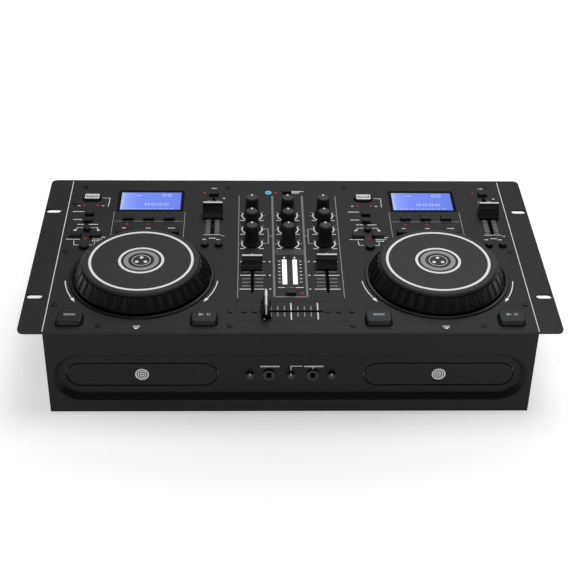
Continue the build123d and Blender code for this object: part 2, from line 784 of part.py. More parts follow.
for name, side in sides:
    cx = side * door_pitch / 2
    tray_mid = fy(door_back + tray_l / 2)
    spin_y = fy(door_back + well_mid)

    with BuildPart() as disc_tray:
        with BuildSketch(level(tray_z)):
            with Locations((cx, tray_mid)):
                Rectangle(tray_w, tray_l)
        extrude(amount=tray_t)
        with BuildSketch(level(tray_top)):
            with Locations((cx, spin_y)):
                Circle(well_r)
        extrude(amount=-well_depth, mode=Mode.SUBTRACT)
        with BuildSketch(level(well_z)):
            with Locations((cx, spin_y)):
                Circle(small_well_r)
        extrude(amount=-small_well_depth, mode=Mode.SUBTRACT)
        # open slot for the turntable and the pickup, out to the back end
        with BuildSketch(level(tray_z)):
            with Locations((cx, spin_y)):
                Circle(tray_slot_w / 2)
            with Locations((cx, fy(door_back) + (well_mid + tray_l) / 2)):
                Rectangle(tray_slot_w, tray_l - well_mid)
        extrude(amount=tray_t, mode=Mode.SUBTRACT)
    save(disc_tray.part, f"disc_tray_{name}")

    with BuildPart() as tray_door:
        with BuildSketch(face_plane(door_back)):
            with Locations((cx, row_z)):
                SlotOverall(door_w, door_h)
        extrude(amount=door_t)
        chamfer(tray_door.edges().group_by(Axis.Y)[0], 0.5)
    save(tray_door.part, f"tray_door_{name}")

    with BuildPart() as disc_mechanism:
        mech_mid = fy(mech_front + mech_len / 2)
        with BuildSketch(level(base_z)):
            with Locations((cx, mech_mid)):
                Rectangle(2 * rail_out, mech_len)
        extrude(amount=bridge_z - base_z)
        with BuildSketch(level(base_z + mech_base_t)):
            with Locations((cx, mech_mid)):
                Rectangle(2 * (rail_in - rail_lip), mech_len)
        extrude(amount=bridge_z - base_z - mech_base_t, mode=Mode.SUBTRACT)
        # guide channels for the tray's edges
        with BuildSketch(level(tray_z - slide_fit)):
            with Locations((cx, mech_mid)):
                Rectangle(2 * rail_in, mech_len)
        extrude(amount=tray_t + 2 * slide_fit, mode=Mode.SUBTRACT)
        with BuildSketch(level(tray_top + slide_fit + rail_lip_t)):
            with Locations((cx, mech_mid)):
                Rectangle(2 * rail_in, mech_len)
        extrude(amount=bridge_z - tray_top, mode=Mode.SUBTRACT)
        # back wall
        with BuildSketch(level(base_z)):
            with Locations((cx, fy(mech_front + mech_len - rail_t / 2))):
                Rectangle(2 * rail_out, rail_t)
        extrude(amount=bridge_z - base_z)
        # clamp bridge over the turntable
        with BuildSketch(level(bridge_z)):
            with Locations((cx, spin_y)):
                Rectangle(2 * rail_out, bridge_w)
        extrude(amount=bridge_t)
        with BuildSketch(level(bridge_z - puck_t)):
            with Locations((cx, spin_y)):
                Circle(puck_r)
        extrude(amount=puck_t)
        # window under the slot, with the motor plate across it
        with BuildSketch(level(base_z)):
            with Locations((cx, spin_y + tray_slot_w / 2)):
                Rectangle(tray_slot_w, 2 * tray_slot_w)
        extrude(amount=mech_base_t, mode=Mode.SUBTRACT)
        with BuildSketch(level(base_z)):
            with Locations((cx, spin_y)):
                Rectangle(tray_slot_w, 2 * motor_r + 4)
                Circle(motor_shaft_r + shaft_fit, mode=Mode.SUBTRACT)
        extrude(amount=motor_plate_t)
        with BuildSketch(level(base_z)):
            with Locations((cx, spin_y)):
                Circle(motor_r)
                Circle(motor_shaft_r + shaft_fit, mode=Mode.SUBTRACT)
        extrude(amount=-motor_h)
        # legs down to the case floor
        with BuildSketch(level(floor_z)):
            with Locations((cx, mech_mid)):
                with GridLocations(2 * (rail_out - mech_leg_in), mech_len - 4 * mech_leg_in, 2, 2):
                    RegularPolygon(mech_leg_r, 6)
        extrude(amount=base_z - floor_z)
    save(disc_mechanism.part, f"disc_mechanism_{name}")

    with BuildPart() as turntable:
        hub_z = well_z - small_well_depth + hub_above_well
        with BuildSketch(level(hub_z - hub_t)):
            with Locations((cx, spin_y)):
                Circle(hub_r)
        extrude(amount=hub_t)
        with BuildSketch(level(hub_z)):
            with Locations((cx, spin_y)):
                Circle(hub_cone_r)
        extrude(amount=hub_cone_h, taper=20)
        with BuildSketch(level(base_z - motor_h + 2)):
            with Locations((cx, spin_y)):
                Circle(motor_shaft_r)
        extrude(amount=hub_z - base_z + motor_h - 2)
    save(turntable.part, f"turntable_{name}")


# ================================================================ faders
def fader(x, y, w, d, h, ridge, along_x, name):
    # cap with scooped flanks up to a narrow ridge, on a lever blade that reaches into the pot
    low = top_z + cap_float
    span, run = (w, d) if along_x else (d, w)
    with BuildPart() as cap:
        section = Plane(origin=(x, y, 0), x_dir=(0, 1, 0) if along_x else (1, 0, 0),
                        z_dir=(1, 0, 0) if along_x else (0, -1, 0))
        with BuildSketch(section):
            with BuildLine():
                Polyline((run / 2, low + cap_foot), (run / 2, low), (-run / 2, low), (-run / 2, low + cap_foot))
                Line((-ridge / 2, top_z + h), (ridge / 2, top_z + h))
                for sign in (-1, 1):
                    ThreePointArc(
                        (sign * run / 2, low + cap_foot),
                        (sign * (run / 2 + ridge / 2) * cap_scoop, low + cap_foot + (h - cap_float - cap_foot) * cap_sag),
                        (sign * ridge / 2, top_z + h),
                    )
            make_face()
        extrude(amount=span / 2, both=True)
        with BuildSketch(level(low)):
            with Locations((x, y)):
                Rectangle(lever_t if along_x else lever_w, lever_w if along_x else lever_t)
        extrude(amount=-lever_drop)
    save(cap.part, name)


for name, side in sides:
    fader(deck_x(side) + pitch_x, fy(pitch_y + pitch_rest), cap_w, cap_d, pitch_cap_h, cap_ridge, True,
          f"pitch_fader_{name}")
    rest = channel_left_rest if side < 0 else channel_right_rest
    fader(side * channel_x, fy(channel_y + rest), cap_w, cap_d, channel_cap_h, cap_ridge, True,
          f"channel_fader_{name}")
fader(-cross_travel / 2, fy(cross_y), cross_cap_w, cross_cap_d, cross_cap_h, cross_cap_ridge, False,
      "crossfader_knob")

# ================================================================ mixer knobs
for col, x in knob_cols:
    for row, y in enumerate(knob_rows):
        with BuildPart() as knob:
            low = top_z + knob_float
            high = top_z + knob_h
            with BuildSketch(upright(x, fy(y))):
                with BuildLine():
                    Polyline((0, low), (knob_base_r, low), (knob_base_r, low + 1.2))
                    ThreePointArc(
                        (knob_base_r, low + 1.2),
                        (knob_waist_r + (knob_base_r - knob_waist_r) * 0.3, low + knob_flare_h * 0.55),
                        (knob_waist_r, low + knob_flare_h),
                    )
                    Polyline((knob_waist_r, low + knob_flare_h), (knob_top_r + 0.1, high - 0.8),
                             (knob_top_r - 0.6, high), (0, high), (0, low))
                make_face()
            revolve(axis=vertical(x, fy(y)))
            with BuildSketch(level(board_z + 1)):
                with Locations((x, fy(y))):
                    Circle(knob_shaft_r)
            extrude(amount=low - board_z - 1)
        save(knob.part, f"knob_{col}_{row + 1}")

# ================================================================ keys
def key_bank(places, name):
    # caps with a retaining flange under the panel and a stem over the switch
    flange_z = under_z - fit - key_travel / 4
    stem_z = board_z + switch_h + key_travel + fit
    with BuildPart() as keys:
        for x, y, w, d in places:
            with BuildSketch(level(flange_z - key_flange_t)):
                with Locations((x, fy(y))):
                    key_outline(w, d, key_flange)
            extrude(amount=key_flange_t)
            with BuildSketch(level(flange_z)):
                with Locations((x, fy(y))):
                    key_outline(w, d)
            extrude(amount=top_z + key_h - flange_z)
        chamfer(keys.edges().group_by(Axis.Z)[-1], key_edge)
        with BuildSketch(level(stem_z)):
            with Locations(*[(x, fy(y)) for x, y, w, d in places]):
                RegularPolygon(stem_r, 6)
        extrude(amount=flange_z - key_flange_t - stem_z)
    save(keys.part, name)


for name, side in sides:
    dx = deck_x(side)
    for bank, places in (("cluster", cluster_keys), ("display", display_keys), ("pitch", pitch_keys)):
        key_bank([(dx + x, y, w, d) for x, y, w, d in places], f"{bank}_keys_{name}")
    for big, i in (("cue", -1), ("play", 1)):
        with BuildPart() as big_key:
            at = (dx + i * big_key_x, fy(big_key_y))
            flange_z = under_z - fit - key_travel / 4
            with BuildSketch(level(flange_z)):
                with Locations(at):
                    RectangleRounded(big_key_w, big_key_d, big_key_round)
            extrude(amount=top_z + big_key_foot - flange_z)
            with BuildSketch(level(top_z + big_key_foot)):
                with Locations(at):
                    RectangleRounded(big_key_w, big_key_d, big_key_round)
            extrude(amount=big_key_h - big_key_foot, taper=big_key_taper)
            fillet(big_key.edges().group_by(Axis.Z)[-1], big_key_edge)
            with BuildSketch(level(flange_z - key_flange_t)):
                with Locations(at):
                    RectangleRounded(big_key_w + 2 * key_flange, big_key_d + 2 * key_flange,
                                     big_key_round + key_flange)
            extrude(amount=key_flange_t)
            # arm from the key back to its switch on the board's front edge
            arm_back = board_front + switch_body
            with BuildSketch(level(flange_z - 2 * key_flange_t)):
                with Locations((at[0], fy((big_key_y + arm_back + stem_r) / 2))):
                    Rectangle(arm_w, arm_back + stem_r - big_key_y)
            extrude(amount=key_flange_t)
            with BuildSketch(level(board_z + switch_h + key_travel + fit)):
                with Locations((at[0], fy(arm_back))):
                    RegularPolygon(stem_r, 6)
            extrude(amount=flange_z - 2 * key_flange_t - board_z - switch_h - key_travel - fit)
        save(big_key.part, f"{big}_key_{name}")
key_bank(mixer_keys, "mixer_keys")

# ================================================================ front sockets and knobs
with BuildPart() as front_jacks:
    for _, side in sides:
        with BuildSketch(face_plane(front_back + fit + jack_body)):
            with Locations((side * jack_x, row_z)):
                Rectangle(jack_body, jack_body)
        extrude(amount=jack_body)
        with BuildSketch(face_plane(front_back + 1)):
            with Locations((side * jack_x, row_z)):
                Circle(jack_collar_r)
        extrude(amount=front_back + 1 - recess_y)
        with BuildSketch(face_plane(recess_y)):
            with Locations((side * jack_x, row_z)):
                Circle(jack_nut_r)
        extrude(amount=jack_nut_t)
    # small pots with a bore each
    for i in (-1, 0, 1):
        with BuildSketch(face_plane(front_back + fit + jack_body)):
            with Locations((i * front_knob_pitch, row_z)):
                Rectangle(front_pot, front_pot)
        extrude(amount=front_pot_len)
    # board behind, which carries them all
    with BuildSketch(face_plane(front_back + fit + jack_body + front_board_t)):
        with Locations((0, row_z)):
            Rectangle(front_board_w, jack_body + 6)
    extrude(amount=front_board_t)
    with BuildSketch(face_plane(front_back + fit + jack_body + front_board_t)):
        with Locations(*[(i * front_knob_pitch, row_z) for i in (-1, 0, 1)]):
            Circle(front_knob_r / 2 + shaft_fit)
        with Locations(*[(side * jack_x, row_z) for _, side in sides]):
            Circle(jack_bore_r)
    extrude(amount=front_board_t + jack_body + fit + front_t + front_inset, mode=Mode.SUBTRACT)
    # feet of the board on the case floor
    for side in (-1, 1):
        with BuildSketch(level(floor_z)):
            with Locations((side * (front_board_w / 2 - 4), fy(front_back + fit + jack_body + front_board_t / 2))):
                Rectangle(8, front_board_t)
        extrude(amount=row_z - jack_body / 2 - 2 - floor_z)
save(front_jacks.part, "front_jacks")

for label, i in (("left", -1), ("centre", 0), ("right", 1)):
    with BuildPart() as front_knob:
        tip = recess_y - front_knob_len
        with BuildSketch(face_plane(front_back)):
            with Locations((i * front_knob_pitch, row_z)):
                Circle(front_knob_r)
        extrude(amount=front_back - tip)
        chamfer(front_knob.edges().group_by(Axis.Y)[0], 0.5)
        with BuildSketch(face_plane(front_back + fit + jack_body)):
            with Locations((i * front_knob_pitch, row_z)):
                Circle(front_knob_r / 2)
        extrude(amount=fit + jack_body)
    save(front_knob.part, f"front_knob_{label}")

# ================================================================ back: sockets, inlet and rocker
with BuildPart() as rear_jacks:
    inner = rear_y - sheet_t
    collar_end = rear_y + rca_collar_h
    with BuildSketch(face_plane(inner)):
        with Locations((rca_x, rca_z)):
            RectangleRounded(rca_cols * rca_pitch_x, 2 * rca_pitch_z, 2)
    extrude(amount=rca_plate_t)
    for radius, tip, length, way in (
        (rca_collar_r, collar_end, rca_collar_h + sheet_t, Mode.ADD),
        (rca_r, collar_end + rca_len, rca_len, Mode.ADD),
        (rca_pin_r, collar_end + rca_len, rca_len, Mode.SUBTRACT),
    ):
        with BuildSketch(face_plane(tip)):
            with Locations((rca_x, rca_z)):
                with GridLocations(rca_pitch_x, rca_pitch_z, rca_cols, 2):
                    Circle(radius)
        extrude(amount=length, mode=way)
save(rear_jacks.part, "rear_jacks")

with BuildPart() as power_inlet:
    # flange on the back wall, socket body and rocker well through it
    module_mid = inlet_x + (rocker_x + rocker_w / 2 - inlet_w / 2) / 2 + inlet_wall / 2
    module_w = rocker_x + rocker_w / 2 + inlet_w / 2 + inlet_wall + 2 * flange_edge
    with BuildSketch(face_plane(rear_y + flange_t)):
        with Locations((module_mid, inlet_z)):
            RectangleRounded(module_w, rocker_l + 2 * inlet_wall + 2 * flange_edge, 2)
    extrude(amount=flange_t)
    with BuildSketch(face_plane(rear_y)):
        with Locations((inlet_x, inlet_z)):
            Rectangle(inlet_w, inlet_h)
        with Locations((inlet_x + rocker_x, inlet_z)):
            Rectangle(rocker_w + 2 * inlet_wall, rocker_l + 2 * inlet_wall)
    extrude(amount=inlet_depth)
    with BuildSketch(face_plane(rear_y + flange_t)):
        with Locations((inlet_x, inlet_z)):
            Rectangle(inlet_mouth_w, inlet_mouth_h)
        with Locations((inlet_x + rocker_x, inlet_z)):
            Rectangle(rocker_w + 2 * rocker_gap, rocker_l + 2 * rocker_gap)
    extrude(amount=inlet_depth + flange_t - inlet_wall, mode=Mode.SUBTRACT)
    with BuildSketch(face_plane(rear_y)):
        with Locations((inlet_x, inlet_z + 2 * inlet_pin_lift)):
            Rectangle(inlet_pin_w, inlet_pin_h)
        with Locations(*[(inlet_x + side * inlet_pin_pitch, inlet_z + inlet_pin_lift / 3) for _, side in sides]):
            Rectangle(inlet_pin_w, inlet_pin_h)
    extrude(amount=inlet_depth - inlet_wall / 2)
save(power_inlet.part, "power_inlet")

with BuildPart() as power_rocker:
    rx = inlet_x + rocker_x
    pivot_y = fy(rear_y + flange_t - rocker_rise)
    with BuildSketch(Plane.YZ.offset(rx - rocker_w / 2)):
        with Locations(Location((pivot_y, inlet_z), rocker_angle)):
            Polygon((-2, -rocker_l / 2 + 2), (rocker_t / 2, -rocker_l / 2), (rocker_t / 2 - 1.6, 0),
                    (rocker_t / 2, rocker_l / 2), (-2, rocker_l / 2 - 2), align=None)
    extrude(amount=rocker_w)
save(power_rocker.part, "power_rocker")

# ================================================================ power supply
with BuildPart() as power_supply:
    supply_z = floor_z + supply_rise
    with BuildSketch(level(supply_z)):
        with Locations((0, fy(supply_y))):
            Rectangle(supply_w, supply_d)
    extrude(amount=supply_board_t)
    with BuildSketch(level(floor_z)):
        with Locations((0, fy(supply_y))):
            with GridLocations(supply_w - 10, supply_d - 10, 2, 2):
                RegularPolygon(spacer_r, 6)
    extrude(amount=supply_rise)
    with BuildSketch(level(supply_z + supply_board_t)):
        with Locations((-supply_w / 2 + transformer_w / 2 + 4, fy(supply_y))):
            Rectangle(transformer_w, transformer_d)
    extrude(amount=transformer_h)
    with BuildSketch(level(supply_z + supply_board_t)):
        with Locations((supply_w / 2 - capacitor_r - 5, fy(supply_y))):
            with GridLocations(1, 2.4 * capacitor_r, 1, 2):
                Circle(capacitor_r)
    extrude(amount=capacitor_h)
save(power_supply.part, "power_supply")
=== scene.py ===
import bpy
import bmesh
from math import atan2, cos, degrees, hypot, radians, sin
from mathutils import Matrix, Vector


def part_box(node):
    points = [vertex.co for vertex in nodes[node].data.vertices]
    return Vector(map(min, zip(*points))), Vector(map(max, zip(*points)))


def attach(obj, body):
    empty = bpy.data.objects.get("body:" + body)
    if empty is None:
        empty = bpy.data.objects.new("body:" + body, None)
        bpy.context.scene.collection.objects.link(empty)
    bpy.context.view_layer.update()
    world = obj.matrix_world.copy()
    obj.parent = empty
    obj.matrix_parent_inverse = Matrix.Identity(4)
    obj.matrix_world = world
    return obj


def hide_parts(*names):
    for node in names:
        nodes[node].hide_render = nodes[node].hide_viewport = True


# Two-deck disc player and mixer. Lengths in the dictionaries are millimetres, turned to metres by mm.
mm = 0.001
sides = {"left": -1, "right": 1}
deckOut = 137.2                # from the panel's middle to a deck's centre line

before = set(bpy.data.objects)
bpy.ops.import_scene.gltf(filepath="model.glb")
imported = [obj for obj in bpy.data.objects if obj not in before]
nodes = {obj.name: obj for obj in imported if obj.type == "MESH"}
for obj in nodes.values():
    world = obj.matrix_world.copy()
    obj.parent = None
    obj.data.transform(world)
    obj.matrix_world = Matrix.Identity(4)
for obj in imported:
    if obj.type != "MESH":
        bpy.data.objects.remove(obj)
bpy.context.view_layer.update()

panelLow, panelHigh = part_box("top_panel")
topZ = panelHigh.z
frontY = panelLow.y
deckX = {side: sum(v.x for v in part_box("jog_plate_" + side)) / 2 for side in sides}
jogY = sum(v.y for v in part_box("jog_plate_left")) / 2


def onPanel(x, y):
    return x * mm, frontY + y * mm     # y runs from the panel's front edge


def freshStart():
    if bpy.context.object and bpy.context.object.mode != "OBJECT":
        bpy.ops.object.mode_set(mode="OBJECT")
    bpy.ops.object.select_all(action="DESELECT")


def choose(piece):
    freshStart()
    piece.select_set(True)
    bpy.context.view_layer.objects.active = piece


def settle(piece):
    choose(piece)
    bpy.ops.object.transform_apply(location=True, rotation=True, scale=True)
    return piece


def pickFaces(piece, test):
    # in edit mode, selects the faces whose centre and normal pass the test
    bpy.ops.mesh.select_all(action="DESELECT")
    bpy.ops.mesh.select_mode(type="FACE")
    shape = bmesh.from_edit_mesh(piece.data)
    for face in shape.faces:
        face.select_set(bool(test(face.calc_center_median(), face.normal)))
    bmesh.update_edit_mesh(piece.data)


def pickEdges(piece, test):
    # the same for edges, by their two ends
    bpy.ops.mesh.select_all(action="DESELECT")
    bpy.ops.mesh.select_mode(type="EDGE")
    shape = bmesh.from_edit_mesh(piece.data)
    for edge in shape.edges:
        a, b = (v.co for v in edge.verts)
        edge.select_set(bool(test(a, b)))
    bmesh.update_edit_mesh(piece.data)


def raiseFaces(high):
    # in edit mode, pulls everything up into a solid and leaves it in object mode
    bpy.ops.mesh.select_all(action="SELECT")
    bpy.ops.mesh.extrude_region_move(TRANSFORM_OT_translate={"value": (0, 0, high * mm)})
    bpy.ops.mesh.select_all(action="SELECT")
    bpy.ops.mesh.normals_make_consistent(inside=False)
    bpy.ops.object.mode_set(mode="OBJECT")


def bevelPiece(piece, width, steps=2, angle=35):
    choose(piece)
    edge = piece.modifiers.new("edge", "BEVEL")
    edge.width = width * mm
    edge.segments = steps
    edge.limit_method = "ANGLE"
    edge.angle_limit = radians(angle)
    bpy.ops.object.modifier_apply(modifier=edge.name)
    return piece


def smooth(piece, angle=35):
    choose(piece)
    bpy.ops.object.shade_smooth_by_angle(angle=radians(angle))


def joined(pieces):
    freshStart()
    for piece in pieces:
        piece.select_set(True)
    bpy.context.view_layer.objects.active = pieces[0]
    bpy.ops.object.join()
    return bpy.context.object


def finishPiece(piece, name, mat, body):
    settle(piece)
    piece.name = name
    piece.data.name = name
    piece.data.materials.clear()
    piece.data.materials.append(mat)
    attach(piece, body)
    return piece


def joinAll(pieces, name, mat, body):
    return finishPiece(joined(pieces), name, mat, body)


def copyTo(piece, move, turn):
    twin = piece.copy()
    twin.data = piece.data.copy()
    bpy.context.collection.objects.link(twin)
    twin.data.transform(turn)
    twin.data.transform(Matrix.Translation(move))
    return twin


def linear(code):
    # sRGB hex to the linear colour that the shaders take
    parts = [int(code[i:i + 2], 16) / 255 for i in (0, 2, 4)]
    parts = [c / 12.92 if c <= 0.04045 else ((c + 0.055) / 1.055) ** 2.4 for c in parts]
    return (*parts, 1.0)


def addNode(tree, kind, values=None, links=None):
    node = tree.nodes.new(kind)
    for key, value in (values or {}).items():
        if key in node.inputs:
            node.inputs[key].default_value = value
        else:
            setattr(node, key, value)
    for key, socket in (links or {}).items():
        tree.links.new(socket, node.inputs[key])
    return node


def startMaterial(name):
    mat = bpy.data.materials.new(name)
    mat.use_nodes = True
    mat.node_tree.nodes.clear()
    return mat, mat.node_tree


def surface(name, low, high, rough=(0.45, 0.55), grain=0.6, bump=0.05, metallic=0.0, ior=1.5,
            spots=12.0, coat=0.0, scaleBy=(1.0, 1.0, 1.0), glow=None, sheen=0.0):
    # low and high are the two ends of the colour's slight drift; grain and spots are in millimetres
    mat, tree = startMaterial(name)
    place = addNode(tree, "ShaderNodeTexCoord")
    mapped = addNode(tree, "ShaderNodeMapping", {"Scale": scaleBy}, {"Vector": place.outputs["Object"]})
    drift = addNode(tree, "ShaderNodeTexNoise", {"Scale": 1 / (spots * mm), "Detail": 4.0, "Roughness": 0.6},
                    {"Vector": mapped.outputs["Vector"]})
    fine = addNode(tree, "ShaderNodeTexNoise", {"Scale": 1 / (grain * mm), "Detail": 3.0, "Roughness": 0.7},
                   {"Vector": mapped.outputs["Vector"]})
    tint = addNode(tree, "ShaderNodeMix", {"data_type": "RGBA"}, {"Factor": drift.outputs["Fac"]})
    for socket in tint.inputs:
        if socket.name in ("A", "B") and socket.type == "RGBA":
            socket.default_value = linear(low if socket.name == "A" else high)
    toned = next(o for o in tint.outputs if o.type == "RGBA")
    wear = addNode(tree, "ShaderNodeMapRange", {"To Min": rough[0], "To Max": rough[1]},
                   {"Value": fine.outputs["Fac"]})
    relief = addNode(tree, "ShaderNodeBump", {"Strength": 1.0, "Distance": bump * mm},
                     {"Height": fine.outputs["Fac"]})
    shader = addNode(tree, "ShaderNodeBsdfPrincipled",
                     {"Metallic": metallic, "Coat Weight": coat, "Sheen Weight": sheen},
                     {"Base Color": toned, "Roughness": wear.outputs["Result"],
                      "Normal": relief.outputs["Normal"]})
    if not metallic:
        shader.inputs["IOR"].default_value = ior
    if glow:
        shader.inputs["Emission Color"].default_value = linear(glow[0])
        shader.inputs["Emission Strength"].default_value = glow[1]
    addNode(tree, "ShaderNodeOutputMaterial", {}, {"Surface": shader.outputs["BSDF"]})
    return mat


# folded steel with baked powder coat: fine orange peel, satin
powderCoat = surface("powderCoatedSteel", "29292b", "2f2f31", (0.5, 0.62), 0.9, 0.035, ior=1.4, spots=30)
# moulded ABS fascia with a light spark texture, a little glossier than the coat
fasciaAbs = surface("mouldedAbsFascia", "141415", "19191a", (0.4, 0.5), 0.7, 0.02, ior=1.3, spots=40)
# glass-filled nylon jog ring, dead black with soft highlights
jogNylon = surface("mouldedNylonJogRing", "08080a", "0d0d0e", (0.24, 0.34), 0.5, 0.02, spots=14)
# pressed aluminium plate, bead blasted and dyed dark grey
jogAluminium = surface("anodisedAluminiumPlate", "313133", "38383a", (0.5, 0.6), 0.35, 0.012, ior=1.45,
                       spots=25)
# soft-touch elastomer skin on knobs
knobElastomer = surface("thermoplasticElastomer", "151516", "1a1a1b", (0.55, 0.7), 0.5, 0.03, sheen=0.03,
                        spots=6)
# lighter disc on a knob's top, matt: painted light falling on the top face
knobTopPaintedLight = surface("paintedLightKnobTop", "3c3c3e", "454547", (0.45, 0.55), 0.4, 0.01, spots=5)
# gloss-moulded ABS of the fader caps
faderAbs = surface("mouldedAbsFaderCap", "08080a", "0c0c0d", (0.24, 0.32), 0.8, 0.008, spots=8, coat=0.15)
# silicone keys with a hard satin lacquer
keySilicone = surface("lacqueredSiliconeKey", "101112", "161718", (0.4, 0.52), 0.5, 0.015, spots=5)
# acrylic frame round a display, polished black
bezelAcrylic = surface("blackAcrylicBezel", "08080a", "0b0b0d", (0.08, 0.14), 3.0, 0.003, ior=1.49, spots=20)
# smoked acrylic over the level meter, dark grey with a faint gloss
smokedAcrylic = surface("smokedAcrylicWindow", "1b1b1d", "212123", (0.3, 0.4), 2.0, 0.004, ior=1.49, spots=20)
# screen-printed epoxy ink, slightly uneven at its edges
# the white ink also glows: painted brightness on the print, not a lamp
whiteInkPaintedGlow = surface("whiteScreenInkPaintedGlow", "ececec", "f6f6f6", (0.5, 0.6), 0.4, 0.006, spots=2,
                   glow=("ffffff", 0.2))
greyInk = surface("greyScreenInk", "88888c", "98989c", (0.5, 0.6), 0.4, 0.006, spots=2)
paleGreyInk = surface("paleGreyScreenInk", "a8a8ac", "b8b8bc", (0.5, 0.6), 0.4, 0.006, spots=2)
keyInk = surface("pressedKeyInk", "a2b0bb", "b2c0ca", (0.5, 0.6), 0.4, 0.006, spots=2)
bandInk = surface("darkGreyScreenInk", "4b4b4e", "57575a", (0.5, 0.6), 0.4, 0.006, spots=2)
# black strips standing for the shade in the gap round the crossfader plate: painted shade, not print
paintedJointShade = surface("paintedJointShadeBlack", "0c0c0d", "121213", (0.55, 0.65), 0.4, 0.006, spots=2)
# two-shot inlay on the ridge of a fader cap
ridgeInlay = surface("mouldedAbsRidgeInlay", "b4b4b8", "c0c0c4", (0.4, 0.5), 0.5, 0.01, spots=4)
# nickel plate on sockets and shells: bright, finely scratched
nickelPlate = surface("nickelPlatedSteel", "b9b7b0", "cbc9c4", (0.2, 0.32), 0.4, 0.006, metallic=1.0, spots=6)
# tumbled stainless rim of the stick sockets, painted almost white and glowing: a painted reflection
steelRimPaintedReflection = surface("stainlessRimPaintedReflection", "f0f0ee", "fafaf8", (0.3, 0.4), 0.5, 0.008, metallic=0.1,
                      spots=5, glow=("ffffff", 0.15))
# zinc-plated pressed steel of the disc mechanism, dull silver
zincPlate = surface("zincPlatedSteel", "8f9091", "a6a7a8", (0.3, 0.45), 0.8, 0.01, metallic=1.0, spots=8)
# black-oxide steel screws, oily dark metal
oxideScrew = surface("blackOxideSteel", "242426", "303032", (0.4, 0.52), 0.3, 0.01, metallic=0.2, spots=2)
# moulded rubber, matt with broad highlights
feetRubber = surface("vulcanisedRubber", "171717", "1f1f1f", (0.7, 0.82), 0.5, 0.05, sheen=0.1, spots=5)
# spark-textured ABS of the disc trays, near black
trayAbs = surface("mouldedAbsTray", "18181a", "1e1e20", (0.4, 0.55), 0.5, 0.02, spots=18)
# moulded polyamide of sockets, smooth and black
jackPolyamide = surface("mouldedPolyamideJack", "0b0b0c", "111112", (0.3, 0.42), 0.5, 0.012, spots=5)
# glass-fibre board under a black mask, faintly shiny
boardLaminate = surface("blackMaskedBoard", "0c0e0d", "121413", (0.35, 0.5), 0.8, 0.01, spots=7, coat=0.2)
# brown board of phenolic paper, matt
supplyPaper = surface("phenolicPaperBoard", "80613b", "947249", (0.5, 0.62), 0.9, 0.01, spots=9)
# dyed polyamide of tongues and inserts, plain satin
whitePolymer = surface("whitePolyamideTongue", "e2e2de", "efefec", (0.35, 0.45), 0.5, 0.008, spots=4)
redPolymer = surface("redPolyamideInsert", "8e1512", "a11b17", (0.35, 0.45), 0.5, 0.008, spots=4)
# dyed epoxy lens of an unlit or dim light-emitting diode
redLens = surface("redEpoxyLens", "7a2626", "8c3231", (0.3, 0.38), 1.0, 0.004, spots=3, glow=("b03c3c", 0.2))
cyanLens = surface("cyanLitRing", "4fb3cf", "62c3dc", (0.3, 0.4), 1.0, 0.004, spots=3, glow=("3fa9cc", 0.55))
deepCyanLens = surface("cyanLitCentre", "236f8c", "2c7c99", (0.3, 0.4), 1.0, 0.004, spots=3,
                       glow=("1f6f90", 0.4))
# milky diffuser over the lit bars, evenly bright
barLight = surface("litBarDiffuser", "e9e9ea", "f2f2f3", (0.4, 0.5), 0.8, 0.004, spots=3,
                   glow=("ffffff", 0.75))
# lit marks of a crystal display, pale blue
lcdMark = surface("lcdSegmentPale", "a4b6ff", "b4c3ff", (0.2, 0.25), 1.0, 0.002, spots=3,
                  glow=("a9bbff", 0.62))


def litScreen(name, left, right):
    # backlit liquid crystal: a blue field, brighter towards the lamp at its left edge
    mat, tree = startMaterial(name)
    place = addNode(tree, "ShaderNodeTexCoord")
    split = addNode(tree, "ShaderNodeSeparateXYZ", {}, {"Vector": place.outputs["Object"]})
    across = addNode(tree, "ShaderNodeMapRange", {"From Min": left, "From Max": right},
                     {"Value": split.outputs["X"]})
    ramp = addNode(tree, "ShaderNodeValToRGB", {}, {"Fac": across.outputs["Result"]})
    ramp.color_ramp.elements[0].color = linear("b9c9ff")
    ramp.color_ramp.elements[1].position = 1.0
    ramp.color_ramp.elements[1].color = linear("7086e6")
    for position, code in ((0.07, "93a6fb"), (0.3, "7d90f0")):
        stop = ramp.color_ramp.elements.new(position)
        stop.color = linear(code)
    cells = addNode(tree, "ShaderNodeTexNoise", {"Scale": 1 / (9 * mm), "Detail": 2.0},
                    {"Vector": place.outputs["Object"]})
    wear = addNode(tree, "ShaderNodeMapRange", {"To Min": 0.1, "To Max": 0.16},
                   {"Value": cells.outputs["Fac"]})
    shader = addNode(tree, "ShaderNodeBsdfPrincipled", {"IOR": 1.2, "Emission Strength": 0.95},
                     {"Emission Color": ramp.outputs["Color"], "Roughness": wear.outputs["Result"]})
    shader.inputs["Base Color"].default_value = linear("20286a")
    addNode(tree, "ShaderNodeOutputMaterial", {}, {"Surface": shader.outputs["BSDF"]})
    return mat


nodeLooks = {
    "top_panel": powderCoat, "bottom_pan": powderCoat, "front_panel": fasciaAbs, "rubber_feet": feetRubber,
    "case_screws": oxideScrew, "control_board": boardLaminate, "power_supply": supplyPaper,
    "rear_jacks": nickelPlate, "power_inlet": jackPolyamide, "power_rocker": faderAbs,
    "front_jacks": jackPolyamide, "level_meter": smokedAcrylic, "crossfader_plate": powderCoat,
    "crossfader_knob": faderAbs, "status_leds": redLens, "mixer_keys": keySilicone,
}
for side in sides:
    nodeLooks.update({
        "display_" + side: bezelAcrylic, "usb_port_" + side: jackPolyamide,
        "jog_base_" + side: jogNylon, "jog_wheel_" + side: jogNylon, "jog_plate_" + side: jogAluminium,
        "disc_tray_" + side: trayAbs, "tray_door_" + side: fasciaAbs, "disc_mechanism_" + side: zincPlate,
        "turntable_" + side: jackPolyamide, "pitch_fader_" + side: faderAbs,
        "channel_fader_" + side: faderAbs,
    })
    for bank in ("cue_key_", "play_key_", "cluster_keys_", "display_keys_", "pitch_keys_"):
        nodeLooks[bank + side] = keySilicone
